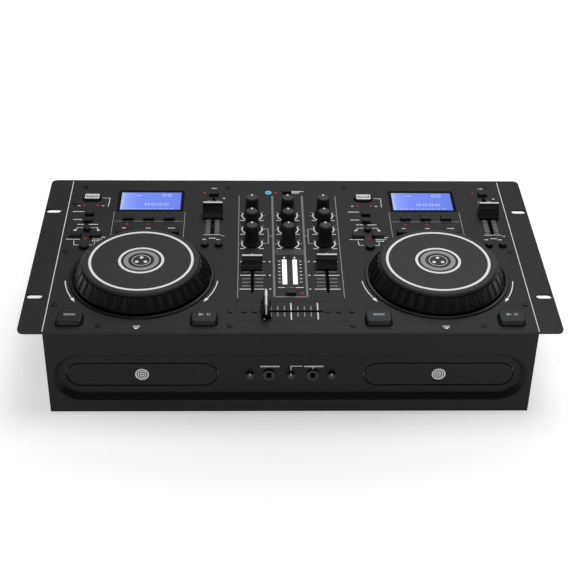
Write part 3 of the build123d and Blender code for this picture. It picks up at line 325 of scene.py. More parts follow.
for column in ("left", "centre", "right"):
    nodeLooks["front_knob_" + column] = faderAbs
    for row in "123":
        nodeLooks["knob_" + column + "_" + row] = knobElastomer
for nodeName, look in nodeLooks.items():
    skin = nodes[nodeName]
    if not skin.material_slots:
        skin.data.materials.append(look)
    for slot in skin.material_slots:
        slot.material = look
print("materials set on", len(nodeLooks), "of", len(nodes), "nodes")


printing = {"ink": 0.06, "sink": 0.03, "letterWide": 1.15, "letterGap": 0.42, "letterFill": 0.72}
inkHigh = printing["ink"] + printing["sink"]


class Ink:
    # gathers printed marks on one flat face; each mark is a plane, and all of them are extruded together
    def __init__(self, z=topZ):
        self.level = z
        self.marks = []

    def bar(self, x, y, wide, deep, turn=0.0):
        self.marks.append((x, y, wide, deep, turn))

    def line(self, points, wide):
        for (x1, y1), (x2, y2) in zip(points, points[1:]):
            long = hypot(x2 - x1, y2 - y1)
            self.bar((x1 + x2) / 2, (y1 + y2) / 2, long + wide, wide, atan2(y2 - y1, x2 - x1))

    def label(self, x1, x2, y, high):
        # stands for a small word: plain strokes with gaps
        count = max(1, round((x2 - x1) / (printing["letterWide"] + printing["letterGap"])))
        step = (x2 - x1) / count
        for i in range(count):
            self.bar(x1 + step * (i + 0.5), y, step * printing["letterFill"], high)

    def build(self):
        freshStart()
        bpy.ops.mesh.primitive_plane_add(size=1)
        piece = bpy.context.object
        bpy.ops.object.mode_set(mode="EDIT")
        bpy.ops.mesh.select_all(action="SELECT")
        bpy.ops.mesh.delete(type="VERT")
        low = self.level - printing["sink"] * mm
        for x, y, wide, deep, turn in self.marks:
            px, py = onPanel(x, y)
            bpy.ops.mesh.primitive_plane_add(size=mm, location=(px, py, low))
            bpy.ops.transform.resize(value=(wide, deep, 1), center_override=(px, py, low))
            if turn:
                bpy.ops.transform.rotate(value=-turn, orient_axis="Z", center_override=(px, py, low))
        raiseFaces(inkHigh)
        return piece


def ring(x, y, z, inner, outer, high, steps=48, span=None):
    # flat ring or arc round (x, y), given in metres; span is its start and end in degrees
    freshStart()
    bpy.ops.mesh.primitive_circle_add(vertices=steps, radius=inner * mm, location=(x, y, z))
    piece = bpy.context.object
    bpy.ops.object.mode_set(mode="EDIT")
    bpy.ops.mesh.select_all(action="DESELECT")
    if span:
        shape = bmesh.from_edit_mesh(piece.data)
        for vert in shape.verts:
            angle = degrees(atan2(vert.co.y, vert.co.x))
            vert.select_set(not any(span[0] <= angle + turn <= span[1] for turn in (-360, 0, 360)))
        shape.select_flush(True)
        bmesh.update_edit_mesh(piece.data)
        bpy.ops.mesh.delete(type="VERT")
    bpy.ops.mesh.select_all(action="SELECT")
    bpy.ops.mesh.extrude_edges_move()
    bpy.ops.transform.resize(value=(outer / inner, outer / inner, 1), center_override=(x, y, z))
    raiseFaces(high)
    return settle(piece)


def disc(x, y, z, radius, high, steps=24):
    freshStart()
    bpy.ops.mesh.primitive_circle_add(vertices=steps, radius=radius * mm, fill_type="NGON",
                                      location=(x, y, z))
    piece = bpy.context.object
    bpy.ops.object.mode_set(mode="EDIT")
    raiseFaces(high)
    return settle(piece)


def block(centre, size, bevel=0.0, steps=2):
    # a box in millimetres at a place in metres, its edges rounded
    freshStart()
    bpy.ops.mesh.primitive_plane_add(size=1, location=(centre[0], centre[1], centre[2] - size[2] * mm / 2))
    piece = bpy.context.object
    bpy.ops.object.mode_set(mode="EDIT")
    bpy.ops.mesh.select_all(action="SELECT")
    bpy.ops.transform.resize(value=(size[0] * mm, size[1] * mm, 1), center_override=piece.location)
    raiseFaces(size[2])
    settle(piece)
    if bevel:
        bevelPiece(piece, bevel, steps)
    return piece


def cutOut(piece, cutter):
    choose(piece)
    cut = piece.modifiers.new("cut", "BOOLEAN")
    cut.operation = "DIFFERENCE"
    cut.solver = "EXACT"
    cut.object = cutter
    bpy.ops.object.modifier_apply(modifier=cut.name)
    bpy.data.objects.remove(cutter)


def midSpan(ends):
    # the middle of a stretch and its length
    return (ends[0] + ends[1]) / 2, ends[1] - ends[0]


whiteMarks = Ink()
greyMarks = Ink()
softMarks = Ink()
bandMarks = Ink()
jointShadeMarks = Ink()

# a rule along each end of the panel
endRule = {"x": 219.0, "y": (1.0, 257.0), "wide": 0.7}
midY, long = midSpan(endRule["y"])
for sign in sides.values():
    whiteMarks.bar(sign * endRule["x"], midY, endRule["wide"], long)

# lines beside the display keys with a rule across, and words and lines round the small keys
deckPrint = {"frameX": 35.2, "frameY": (153.0, 199.0), "lineWide": 0.6,
             "crossY": 181.3, "crossShort": 3.0, "crossWide": 0.9, "wordHigh": 1.3}
deckWords = (            # start, end, y from the deck's centre line and the panel's front edge
    (-76.5, -65.1, 199.2), (-74.8, -65.8, 184.4), (-69.8, -62.8, 175.5), (-58.5, -49.2, 175.5),
    (-77.7, -64.2, 149.0), (-72.6, -70.0, 210.2), (-48.8, -46.0, 210.2),
    (-25.0, -21.4, 169.1), (-2.0, 2.6, 169.1), (19.6, 26.8, 169.1),
    (53.8, 57.6, 149.0), (67.0, 71.0, 149.0), (60.6, 66.0, 244.4), (60.0, 66.6, 151.1),
    (-52.6, -40.0, 152.6), (-52.6, -42.0, 149.4), (-52.6, -44.0, 146.2),
)
deckLines = (
    ((-49.3, 224.9), (-41.6, 224.9), (-42.1, 208.4)),
    ((-69.1, 169.5), (-63.6, 169.5)), ((-55.5, 169.5), (-49.0, 169.5)),
    ((-69.1, 169.5), (-69.1, 166.2)), ((-49.0, 169.5), (-49.0, 166.2)),
    ((-69.7, 146.0), (-68.9, 139.0), (-64.6, 139.0)), ((-54.0, 139.0), (-49.4, 139.0), (-49.6, 144.0)),
)
# a short bar behind a longer one, at three of the small keys
keySymbol = {"places": ((-59.2, 185.6), (-70.6, 164.9), (-47.8, 164.9)),
             "upper": (2.0, 1.0), "upperBy": 1.0, "lower": (3.2, 0.9), "lowerBy": -0.4}
# pitch slot: a rule in front of it, two columns of ticks beside it, a plus and a minus
pitchPrint = {"x": 63.3, "ruleY": 157.3, "rule": (17.2, 0.7),
              "ticks": 19, "tickY": 160.3, "tickStep": 3.3, "tickX": 4.5, "tick": (4.2, 1.7),
              "plus": (73.6, 224.9), "minus": (73.8, 155.2), "strokeLong": 2.6, "strokeWide": 0.7}
# a short word and a solid triangle in front of the wheel
wheelPrint = {"wordHalf": 3.2, "wordY": 9.2, "wordHigh": 1.2,
              "rows": 4, "rowY": 7.0, "rowStep": 0.55, "rowLong": 5.0, "rowLess": 1.3, "rowHigh": 0.56}
for sign in sides.values():
    dx = sign * deckOut
    for x, y in keySymbol["places"]:
        whiteMarks.bar(dx + x, y + keySymbol["upperBy"], *keySymbol["upper"])
        whiteMarks.bar(dx + x, y + keySymbol["lowerBy"], *keySymbol["lower"])
    for i in (-1, 1):
        x = dx + i * deckPrint["frameX"]
        softMarks.line([(x, y) for y in deckPrint["frameY"]], deckPrint["lineWide"])
    crossLong = 2 * deckPrint["frameX"] - deckPrint["crossShort"]
    greyMarks.bar(dx, deckPrint["crossY"], crossLong, deckPrint["crossWide"])
    for x1, x2, y in deckWords:
        whiteMarks.label(dx + x1, dx + x2, y, deckPrint["wordHigh"])
    for points in deckLines:
        whiteMarks.line([(dx + x, y) for x, y in points], deckPrint["lineWide"])
    px = dx + pitchPrint["x"]
    whiteMarks.bar(px, pitchPrint["ruleY"], *pitchPrint["rule"])
    for i in range(pitchPrint["ticks"]):
        y = pitchPrint["tickY"] + i * pitchPrint["tickStep"]
        for j in (-1, 1):
            greyMarks.bar(px + j * pitchPrint["tickX"], y, *pitchPrint["tick"])
    x, y = pitchPrint["plus"]
    whiteMarks.bar(dx + x, y, pitchPrint["strokeLong"], pitchPrint["strokeWide"])
    whiteMarks.bar(dx + x, y, pitchPrint["strokeWide"], pitchPrint["strokeLong"])
    x, y = pitchPrint["minus"]
    whiteMarks.bar(dx + x, y, pitchPrint["strokeLong"], pitchPrint["strokeWide"])
    whiteMarks.label(dx - wheelPrint["wordHalf"], dx + wheelPrint["wordHalf"], wheelPrint["wordY"],
                     wheelPrint["wordHigh"])
    for i in range(wheelPrint["rows"]):
        whiteMarks.bar(dx, wheelPrint["rowY"] - i * wheelPrint["rowStep"],
                       wheelPrint["rowLong"] - i * wheelPrint["rowLess"], wheelPrint["rowHigh"])
print("deck marks laid out")

# mixer: side lines, rails between the columns with a foot across, a dark band and two words behind
mixerPrint = {"sideX": (-48.3, 49.2), "sideY": (52.0, 230.0), "sideWide": 0.7,
              "railX": (-14.7, 15.4), "railY": (53.0, 230.0), "railWide": 2.0, "footUp": 0.8, "footWide": 1.8,
              "bandY": (122.4, 131.5), "bandGap": 0.2,
              "words": ((5.0, 17.4, 238.6, 1.5), (5.0, 13.0, 235.8, 2.0))}
midY, long = midSpan(mixerPrint["sideY"])
for x in mixerPrint["sideX"]:
    softMarks.bar(x, midY, mixerPrint["sideWide"], long)
midY, long = midSpan(mixerPrint["railY"])
for x in mixerPrint["railX"]:
    greyMarks.bar(x, midY, mixerPrint["railWide"], long)
railMid, railSpan = midSpan(mixerPrint["railX"])
greyMarks.bar(railMid, mixerPrint["railY"][0] + mixerPrint["footUp"], railSpan, mixerPrint["footWide"])
midY, long = midSpan(mixerPrint["bandY"])
bandMarks.bar(railMid, midY, railSpan - mixerPrint["railWide"] - mixerPrint["bandGap"], long)

# each channel: a bracket by its first knobs, then ticks across the slot, the long ones broken at it
channelPrint = {"bracket": ((24.0, 142.0), (19.4, 142.0), (19.4, 168.0), (24.0, 168.0)),
                "stem": ((15.6, 155.0), (19.4, 155.0)), "bracketWide": 1.0,
                "long": ((110.8, 0.9), (88.1, 1.0), (65.8, 1.0)), "halves": ((22.6, 33.0), (36.4, 46.4)),
                "shortY": (82.4, 76.7, 70.9, 93.6, 99.2, 104.8), "shortX": (28.6, 40.6), "short": (7.4, 0.9),
                "squareY": (110.8, 88.1, 65.9), "squareX": 18.4, "square": 1.6}
for sign in sides.values():
    for points in (channelPrint["bracket"], channelPrint["stem"]):
        softMarks.line([(sign * x, y) for x, y in points], channelPrint["bracketWide"])
    for y, wide in channelPrint["long"]:
        for half in channelPrint["halves"]:
            midX, long = midSpan(half)
            whiteMarks.bar(sign * midX, y, long, wide)
    for y in channelPrint["shortY"]:
        for x in channelPrint["shortX"]:
            softMarks.bar(sign * x, y, *channelPrint["short"])
    for y in channelPrint["squareY"]:
        whiteMarks.bar(sign * channelPrint["squareX"], y, channelPrint["square"], channelPrint["square"])

# scale beside the level meter, with two rules and a word at its foot and two marks at its head
meterPrint = {"tickX": (-9.6, 10.6), "ticks": 7, "tickY": 77.0, "tickStep": 5.75, "tick": (2.2, 1.0),
              "footY": 68.4, "feet": ((-8.2, 6.4), (8.8, 7.0)), "footWide": 0.9,
              "word": (-3.8, 4.4), "wordHigh": 1.0, "headX": (-4.7, 5.1), "headY": 118.9, "head": (1.4, 1.2)}
for i in range(meterPrint["ticks"]):
    y = meterPrint["tickY"] + i * meterPrint["tickStep"]
    for x in meterPrint["tickX"]:
        whiteMarks.bar(x, y, *meterPrint["tick"])
for x, wide in meterPrint["feet"]:
    whiteMarks.bar(x, meterPrint["footY"], wide, meterPrint["footWide"])
greyMarks.label(*meterPrint["word"], meterPrint["footY"], meterPrint["wordHigh"])
for x in meterPrint["headX"]:
    softMarks.bar(x, meterPrint["headY"], *meterPrint["head"])
for x1, x2, y, high in mixerPrint["words"]:
    whiteMarks.label(x1, x2, y, high)

# round each knob: marks at the ends and the sides of its scale, a dot behind it, arcs between them
knobPrint = {"cols": {"left": -35.2, "centre": 0.0, "right": 35.2}, "rows": (142.2, 167.4, 192.6),
             "endX": 9.2, "endBy": -9.2, "endLong": 4.4, "lowX": 11.9, "lowBy": -0.6, "lowLong": 2.2,
             "highX": 10.6, "highBy": 5.6, "highLong": 1.8, "markWide": 0.9, "dotBy": 11.4, "dot": 1.5,
             "arcR": 9.3, "arcWide": 1.1, "arcs": ((-57, 27), (153, 237))}
for x in knobPrint["cols"].values():
    for y in knobPrint["rows"]:
        for sign in sides.values():
            whiteMarks.bar(x + sign * knobPrint["endX"], y + knobPrint["endBy"], knobPrint["endLong"],
                           knobPrint["markWide"])
            softMarks.bar(x + sign * knobPrint["lowX"], y + knobPrint["lowBy"], knobPrint["lowLong"],
                          knobPrint["markWide"])
            softMarks.bar(x + sign * knobPrint["highX"], y + knobPrint["highBy"], knobPrint["highLong"],
                          knobPrint["markWide"])
        whiteMarks.bar(x, y + knobPrint["dotBy"], knobPrint["dot"], knobPrint["dot"])

# crossfader plate: ticks broken at the slot, three of them long, and black painted shade along its joint on
# three sides
crossPrint = {"slotY": 31.4, "slotHalf": 1.7, "pitch": 6.0, "count": 4,
              "long": (18.9, 44.0), "longWide": 1.1, "short": (23.6, 39.0), "shortWide": 0.9,
              "sideX": 49.3, "edgeY": (16.4, 46.6), "joint": 1.3}
for i in range(-crossPrint["count"], crossPrint["count"] + 1):
    marks, kind = (whiteMarks, "long") if i % crossPrint["count"] == 0 else (softMarks, "short")
    low, high = crossPrint[kind]
    for part in ((low, crossPrint["slotY"] - crossPrint["slotHalf"]),
                 (crossPrint["slotY"] + crossPrint["slotHalf"], high)):
        midY, long = midSpan(part)
        marks.bar(i * crossPrint["pitch"], midY, crossPrint[kind + "Wide"], long)
midY, long = midSpan(crossPrint["edgeY"])
for sign in sides.values():
    jointShadeMarks.bar(sign * crossPrint["sideX"], midY, crossPrint["joint"], long)
jointShadeMarks.bar(0, crossPrint["edgeY"][1], 2 * crossPrint["sideX"], crossPrint["joint"])
finishPiece(jointShadeMarks.build(), "crossfaderJointShade", paintedJointShade, "root")
finishPiece(bandMarks.build(), "panelPrintBand", bandInk, "root")
finishPiece(whiteMarks.build(), "panelPrintWhite", whiteInkPaintedGlow, "root")
finishPiece(greyMarks.build(), "panelPrintGrey", greyInk, "root")
finishPiece(softMarks.build(), "panelPrintPale", paleGreyInk, "root")

inkZ = topZ - printing["sink"] * mm
arcs = []
for x in knobPrint["cols"].values():
    for y in knobPrint["rows"]:
        px, py = onPanel(x, y)
        outer = knobPrint["arcR"] + knobPrint["arcWide"]
        for span in knobPrint["arcs"]:
            arcs.append(ring(px, py, inkZ, knobPrint["arcR"], outer, inkHigh, 60, span))
joinAll(arcs, "knobScalePrint", whiteInkPaintedGlow, "root")

# direction arcs beside each wheel: start, end and which way the arrow head in front points
directionArc = {"radius": 70.2, "wide": 0.9, "arcs": ((186, 214, 1), (-34, -6, -1)),
                "headRows": 5, "headStep": 0.9, "headLong": 3.2, "headLess": 0.62, "headDeep": 1.15}
arcs = []
outer = directionArc["radius"] + directionArc["wide"]
middle = (directionArc["radius"] + directionArc["wide"] / 2) * mm
for side in sides:
    for start, end, heading in directionArc["arcs"]:
        arcs.append(ring(deckX[side], jogY, inkZ, directionArc["radius"], outer, inkHigh, 180, (start, end)))
        tip = radians(end if heading > 0 else start)
        for i in range(directionArc["headRows"]):
            a = tip - heading * radians(directionArc["headStep"]) * i
            reach = directionArc["headLong"] - directionArc["headLess"] * (directionArc["headRows"] - 1 - i)
            place = (deckX[side] + middle * cos(a), jogY + middle * sin(a), inkZ)
            freshStart()
            bpy.ops.mesh.primitive_plane_add(size=1, location=place, rotation=(0, 0, a))
            head = bpy.context.object
            bpy.ops.object.mode_set(mode="EDIT")
            raiseFaces(inkHigh)
            head.scale = (reach * mm, directionArc["headDeep"] * mm, 1)
            arcs.append(settle(head))
joinAll(arcs, "directionPrint", whiteInkPaintedGlow, "root")
print("panel print done")

# rings on a wheel's top plate and the three dots in its middle
jogPrint = {"outerR": (45.9, 48.3), "innerR": (18.7, 21.1), "greyR": (12.0, 16.2), "hubR": (8.1, 8.6),
            "high": 0.07, "sink": 0.02, "dots": 3, "dotsR": 4.6, "dotR": 1.7}
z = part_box("jog_plate_left")[1].z - jogPrint["sink"] * mm
for side in sides:
    x, y = deckX[side], jogY
    rings = [ring(x, y, z, *jogPrint["outerR"], jogPrint["high"], 128),
             ring(x, y, z, *jogPrint["innerR"], jogPrint["high"], 96)]
    joinAll(rings, "jogRings_" + side, whiteInkPaintedGlow, "jog_" + side)
    greyRing = ring(x, y, z, *jogPrint["greyR"], jogPrint["high"], 80)
    finishPiece(greyRing, "jogGreyRing_" + side, paleGreyInk, "jog_" + side)
    hub = [ring(x, y, z, *jogPrint["hubR"], jogPrint["high"], 64)]
    for i in range(jogPrint["dots"]):
        a = radians(90 + 360 / jogPrint["dots"] * i)
        dotX = x + jogPrint["dotsR"] * mm * cos(a)
        dotY = y + jogPrint["dotsR"] * mm * sin(a)
        hub.append(disc(dotX, dotY, z, jogPrint["dotR"], jogPrint["high"], 20))
    joinAll(hub, "jogCentreMark_" + side, whiteInkPaintedGlow, "jog_" + side)
print("jog print done")

# what is lit on a screen, from its middle: two numbers (text, x, y, height, stretch), a bar, a row of dashes
screen = {"wide": 60.2, "deep": 32.8, "thick": 0.35, "edge": 0.12, "y": 219.8, "sunk": 0.5}
display = {"numbers": (("00", 10.5, 8.6, 5.6, 1.25), ("0000", -6.5, -8.6, 5.2, 1.6)),
           "fontPerHigh": 1.35, "spacing": 1.15, "relief": 0.02, "lift": 0.03,
           "bar": (6.4, 1.2, 0.06), "barAt": (-13.0, 10.4),
           "dash": (3.6, 0.8, 0.06), "dashAt": (-22.0, -14.2), "dashes": 9, "dashStep": 5.4}
glassZ = topZ - screen["sunk"] * mm
litZ = glassZ + (screen["thick"] + display["lift"]) * mm


def screenText(text, x, y, high, stretch):
    freshStart()
    bpy.ops.object.text_add(location=(0, 0, 0))
    words = bpy.context.object
    words.data.body = text
    words.data.size = high * mm * display["fontPerHigh"]
    words.data.align_x = "LEFT"
    words.data.extrude = display["relief"] * mm
    words.data.space_character = display["spacing"]
    bpy.ops.object.convert(target="MESH")
    words = bpy.context.object
    words.scale = (stretch, 1, 1)
    words.location = (x, y, litZ)
    return settle(words)


for side in sides:
    x, y = deckX[side], frontY + screen["y"] * mm
    halfWide = screen["wide"] / 2 * mm
    glassPlace = (x, y, glassZ + screen["thick"] * mm / 2)
    glass = block(glassPlace, (screen["wide"], screen["deep"], screen["thick"]), screen["edge"], 1)
    lit = litScreen("backlitCrystal_" + side, x - halfWide, x + halfWide)
    finishPiece(glass, "screenGlass_" + side, lit, "root")
    pieces = [screenText(text, x + right * mm, y + back * mm, high, stretch)
              for text, right, back, high, stretch in display["numbers"]]
    right, back = display["barAt"]
    pieces.append(block((x + right * mm, y + back * mm, litZ), display["bar"]))
    right, back = display["dashAt"]
    for i in range(display["dashes"]):
        dashX = x + right * mm + i * display["dashStep"] * mm
        pieces.append(block((dashX, y + back * mm, litZ), display["dash"]))
    joinAll(pieces, "screenSegments_" + side, lcdMark, "root")
print("screens done")

# two columns of lit bars with a dot behind each
meter = {"y": (73.4, 114.2), "bars": ((-6.9, -2.5), (3.0, 7.2)), "segments": 12, "gap": 0.3, "high": 0.25,
         "edge": 0.08, "dotsY": 117.2, "dotR": 0.8}
pieces = []
step = (meter["y"][1] - meter["y"][0]) / meter["segments"]
for bar in meter["bars"]:
    midX, wide = midSpan(bar)
    for i in range(meter["segments"]):
        px, py = onPanel(midX, meter["y"][0] + step * (i + 0.5))
        size = (wide, step - meter["gap"], meter["high"])
        pieces.append(block((px, py, topZ + meter["high"] * mm / 2), size, meter["edge"], 1))
    px, py = onPanel(midX, meter["dotsY"])
    pieces.append(disc(px, py, topZ, meter["dotR"], meter["high"], 16))
joinAll(pieces, "meterBars", barLight, "root")
print("meter done")

# pale inlay on a cap's ridge and a white line along it; the line also runs down the crossfader's front
capLine = {"wide": 1.3, "high": 0.12, "up": 0.2, "short": 0.9, "edge": 0.04,
           "ridge": 2.8, "inlayHigh": 0.2, "inlayUp": 0.05, "inlayShort": 0.6, "inlayEdge": 0.06,
           "tab": (1.2, 1.0, 0.7), "tabBack": 2.0, "tabDown": 0.4, "tabEdge": 0.1,
           "crossInlay": (2.6, 8.0), "crossBack": 7.0, "drop": 10.5}


def faderMark(node, body, alongX):
    lowCorner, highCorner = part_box(node)
    x = (lowCorner.x + highCorner.x) / 2
    y = (lowCorner.y + highCorner.y) / 2
    top = highCorner.z
    long = ((highCorner.x - lowCorner.x) if alongX else (highCorner.y - lowCorner.y)) / mm
    lineLong = long - capLine["short"]
    inlayZ = top + capLine["inlayUp"] * mm
    lineZ = top + capLine["up"] * mm
    if alongX:
        inlaySize = (long - capLine["inlayShort"], capLine["ridge"], capLine["inlayHigh"])
        inlay = block((x, y, inlayZ), inlaySize, capLine["inlayEdge"], 1)
        line = block((x, y, lineZ), (lineLong, capLine["wide"], capLine["high"]), capLine["edge"], 1)
        tabPlace = (x, y + capLine["tabBack"] * mm, top - capLine["tabDown"] * mm)
        strips = [line, block(tabPlace, capLine["tab"], capLine["tabEdge"], 1)]
    else:
        inlaySize = (*capLine["crossInlay"], capLine["inlayHigh"])
        inlayY = highCorner.y - capLine["crossBack"] * mm
        inlay = block((x, inlayY, inlayZ), inlaySize, capLine["inlayEdge"], 1)
        line = block((x, y, lineZ), (capLine["wide"], lineLong, capLine["high"]), capLine["edge"], 1)
        dropPlace = (x, lowCorner.y, top - capLine["drop"] * mm / 2 + capLine["up"] * mm)
        dropSize = (capLine["wide"], 2 * capLine["high"], capLine["drop"])
        strips = [line, block(dropPlace, dropSize, capLine["edge"], 1)]
    finishPiece(inlay, "capInlay_" + node, ridgeInlay, body)
    joinAll(strips, "capLine_" + node, whiteInkPaintedGlow, body)


for side in sides:
    faderMark("pitch_fader_" + side, "pitch_" + side, True)
    faderMark("channel_fader_" + side, "channel_" + side, True)
faderMark("crossfader_knob", "crossfader", False)

# lighter disc on each mixer knob's top, painted light on its top face, with a white pointer
crown = {"radius": 5.0, "thick": 0.35, "sunk": 0.05, "edge": 0.18,
         "pointer": (1.5, 2.4, 0.14), "pointerBack": 3.9, "pointerUp": 0.33, "pointerEdge": 0.04}
for column, x in knobPrint["cols"].items():
    for row, y in enumerate(knobPrint["rows"], 1):
        node = f"knob_{column}_{row}"
        body = f"mix_{column}_{row}"
        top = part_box(node)[1].z
        px, py = onPanel(x, y)
        cap = disc(px, py, top - crown["sunk"] * mm, crown["radius"], crown["thick"], 40)
        bevelPiece(cap, crown["edge"], 2)
        finishPiece(cap, "knobTopLight_" + column + "_" + str(row), knobTopPaintedLight, body)
        place = (px, py + crown["pointerBack"] * mm, top + crown["pointerUp"] * mm)
        pointer = block(place, crown["pointer"], crown["pointerEdge"], 1)
        finishPiece(pointer, "knobPointer_" + column + "_" + str(row), whiteInkPaintedGlow, body)
print("caps and knobs done")

# a word on one big key, an arrow and two bars on the other, at x on either side of the deck's centre line
bigKey = {"x": 59.5, "markY": 19.2, "wordHalf": 5.2, "wordHigh": 3.0,
          "arrowBy": -4.2, "arrowRows": 5, "arrowStep": 0.9, "arrowWide": 0.92, "arrowDeep": 4.0,
          "arrowLess": 0.8, "barsBy": 3.0, "bars": 2, "barStep": 1.7, "bar": (0.9, 3.6)}
for side, sign in sides.items():
    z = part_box("cue_key_" + side)[1].z
    marks = Ink(z)
    x = sign * deckOut - bigKey["x"]
    marks.label(x - bigKey["wordHalf"], x + bigKey["wordHalf"], bigKey["markY"], bigKey["wordHigh"])
    finishPiece(marks.build(), "cueMark_" + side, keyInk, "cue_key_" + side + "_body")
    marks = Ink(z)
    x = sign * deckOut + bigKey["x"]
    for i in range(bigKey["arrowRows"]):
        marks.bar(x + bigKey["arrowBy"] + i * bigKey["arrowStep"], bigKey["markY"], bigKey["arrowWide"],
                  bigKey["arrowDeep"] - i * bigKey["arrowLess"])
    for i in range(bigKey["bars"]):
        marks.bar(x + bigKey["barsBy"] + i * bigKey["barStep"], bigKey["markY"], *bigKey["bar"])
    finishPiece(marks.build(), "playMark_" + side, keyInk, "play_key_" + side + "_body")
print("key marks done")

# screws stand in mirrored pairs on the panel, and in the case's sides at two drops below the panel
screwHead = {"radius": 2.7, "high": 1.1, "crossLong": 3.0, "crossWide": 0.8, "deep": 0.7, "bevel": 0.35,
             "places": ((213.0, 215.0), (213.0, 128.4), (213.0, 41.7), (171.0, 10.5), (54.6, 31.4),
                        (54.6, 10.3), (59.6, 247.2), (205.0, 247.2), (42.6, 31.4), (33.0, 31.4)),
             "turnStep": 23, "sideX": 219.0, "sideY": 14.0, "sideDrops": (17.0, 67.0), "sideTurn": 31}


def crossHead():
    # pan head with a cross recess, upright at the origin
    head = disc(0, 0, 0, screwHead["radius"], screwHead["high"], 24)
    choose(head)
    bpy.ops.object.mode_set(mode="EDIT")
    topLevel = screwHead["high"] * mm
    pickEdges(head, lambda a, b: a.z > topLevel * 0.9 and b.z > topLevel * 0.9)
    bpy.ops.mesh.bevel(offset=screwHead["bevel"] * mm, segments=3, affect="EDGES")
    bpy.ops.object.mode_set(mode="OBJECT")
    arm = (screwHead["crossLong"], screwHead["crossWide"])
    for long, wide in (arm, arm[::-1]):
        cutOut(head, block((0, 0, topLevel), (long, wide, 2 * screwHead["deep"])))
    return head


head = crossHead()
heads = []
screwPlaces = [(sign * x, y) for sign in sides.values() for x, y in screwHead["places"]]
for i, (x, y) in enumerate(screwPlaces):
    px, py = onPanel(x, y)
    turn = Matrix.Rotation(radians(screwHead["turnStep"] * i), 4, "Z")
    heads.append(copyTo(head, Vector((px, py, topZ)), turn))
for sign in sides.values():
    for drop in screwHead["sideDrops"]:
        px, py = onPanel(sign * screwHead["sideX"], screwHead["sideY"])
        outward = Matrix.Rotation(radians(90 * sign), 4, "Y")
        turn = Matrix.Rotation(radians(screwHead["sideTurn"] * sign), 4, "Z")
        heads.append(copyTo(head, Vector((px, py, topZ - drop * mm)), outward @ turn))
bpy.data.objects.remove(head)
screws = joinAll(heads, "caseScrewHeads", oxideScrew, "root")
smooth(screws, 30)
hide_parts("case_screws")
print("screws done")

# rim of each stick socket, pale with a painted reflection, a plate with the mouth cut through it, and the
# tongue inside
usb = {"wide": 12.5, "deep": 5.1, "rim": (14.4, 8.6, 0.9), "rimSunk": 0.25, "rimEdge": 0.3,
       "lip": 0.6, "cutHigh": 4.0, "tongueShort": 2.4, "tongueDeep": 2.2, "tongueHigh": 3.2,
       "tongueBack": 1.0, "tongueSunk": 1.6, "tongueEdge": 0.2}
for side in sides:
    lowCorner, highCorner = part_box("usb_port_" + side)
    x = (lowCorner.x + highCorner.x) / 2
    y = (lowCorner.y + highCorner.y) / 2
    z = highCorner.z
    rim = block((x, y, z - usb["rimSunk"] * mm), usb["rim"], usb["rimEdge"], 2)
    mouth = block((x, y, z), (usb["wide"] - usb["lip"], usb["deep"] - usb["lip"], usb["cutHigh"]))
    cutOut(rim, mouth)
    finishPiece(rim, "usbShell_" + side, steelRimPaintedReflection, "root")
    tongueSize = (usb["wide"] - usb["tongueShort"], usb["tongueDeep"], usb["tongueHigh"])
    tonguePlace = (x, y + usb["tongueBack"] * mm, z - usb["tongueSunk"] * mm)
    tongue = block(tonguePlace, tongueSize, usb["tongueEdge"], 1)
    finishPiece(tongue, "usbTongue_" + side, whitePolymer, "root")
print("stick sockets done")

# link light: a cyan lens with a deeper centre
linkLight = {"place": (-18.7, 235.6), "ringR": (1.1, 3.35), "high": 0.62, "edge": 0.2,
             "dotR": 1.3, "dotUp": 0.3, "dotHigh": 0.16}
px, py = onPanel(*linkLight["place"])
glowRing = ring(px, py, topZ, *linkLight["ringR"], linkLight["high"], 48)
bevelPiece(glowRing, linkLight["edge"], 2)
finishPiece(glowRing, "linkRingLight", cyanLens, "root")
linkDot = disc(px, py, topZ + linkLight["dotUp"] * mm, linkLight["dotR"], linkLight["dotHigh"], 24)
finishPiece(linkDot, "linkRingCentre", deepCyanLens, "root")

# domed lenses of the status lights
statusLight = {"deckRadius": 1.7, "mixerRadius": 2.1, "high": 1.2,
               "deck": ((-66.3, 210.2), (-52.7, 210.2), (-59.2, 149.4), (-21.2, 175.6), (0.3, 175.6),
                        (53.5, 235.3)),
               "mixer": ((10.8, 58.4), (-11.7, 235.6))}


def dome(x, y, radius):
    px, py = onPanel(x, y)
    freshStart()
    bpy.ops.mesh.primitive_uv_sphere_add(segments=20, ring_count=10, radius=radius * mm,
                                         location=(px, py, topZ))
    bulb = bpy.context.object
    bpy.ops.object.mode_set(mode="EDIT")
    bpy.ops.mesh.select_all(action="SELECT")
    bpy.ops.mesh.bisect(plane_co=(px, py, topZ), plane_no=(0, 0, -1), use_fill=True, clear_outer=True)
    bpy.ops.mesh.select_all(action="SELECT")
    bpy.ops.transform.resize(value=(1, 1, statusLight["high"] / radius), center_override=(px, py, topZ))
    bpy.ops.mesh.normals_make_consistent(inside=False)
    bpy.ops.object.mode_set(mode="OBJECT")
    smooth(bulb, 40)
    return bulb


domes = [dome(x, y, statusLight["mixerRadius"]) for x, y in statusLight["mixer"]]
for sign in sides.values():
    domes += [dome(sign * deckOut + x, y, statusLight["deckRadius"]) for x, y in statusLight["deck"]]
joinAll(domes, "statusLenses", redLens, "root")

# front face: words and a bracket over the sockets and small knobs, whose row is rowDown below the panel
frontPrint = {"rowDown": 52.0, "words": ((-27.8, -10.3), (11.8, 29.3)), "wordUp": 9.0, "wordHigh": 1.5,
              "letterPitch": 1.55, "thick": 0.1,
              "lines": ((5.2, 9.3, 10.5, 0.7), (0.0, 7.0, 0.7, 5.0), (19.9, 7.2, 0.7, 2.2))}
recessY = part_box("tray_door_left")[0].y
rowZ = topZ - frontPrint["rowDown"] * mm


def onFront(piece, faceY):
    # lays a piece modelled flat round the origin against the front face
    piece.data.transform(Matrix.Translation(Vector((0, faceY, 0))) @ Matrix.Rotation(radians(90), 4, "X"))
    return piece


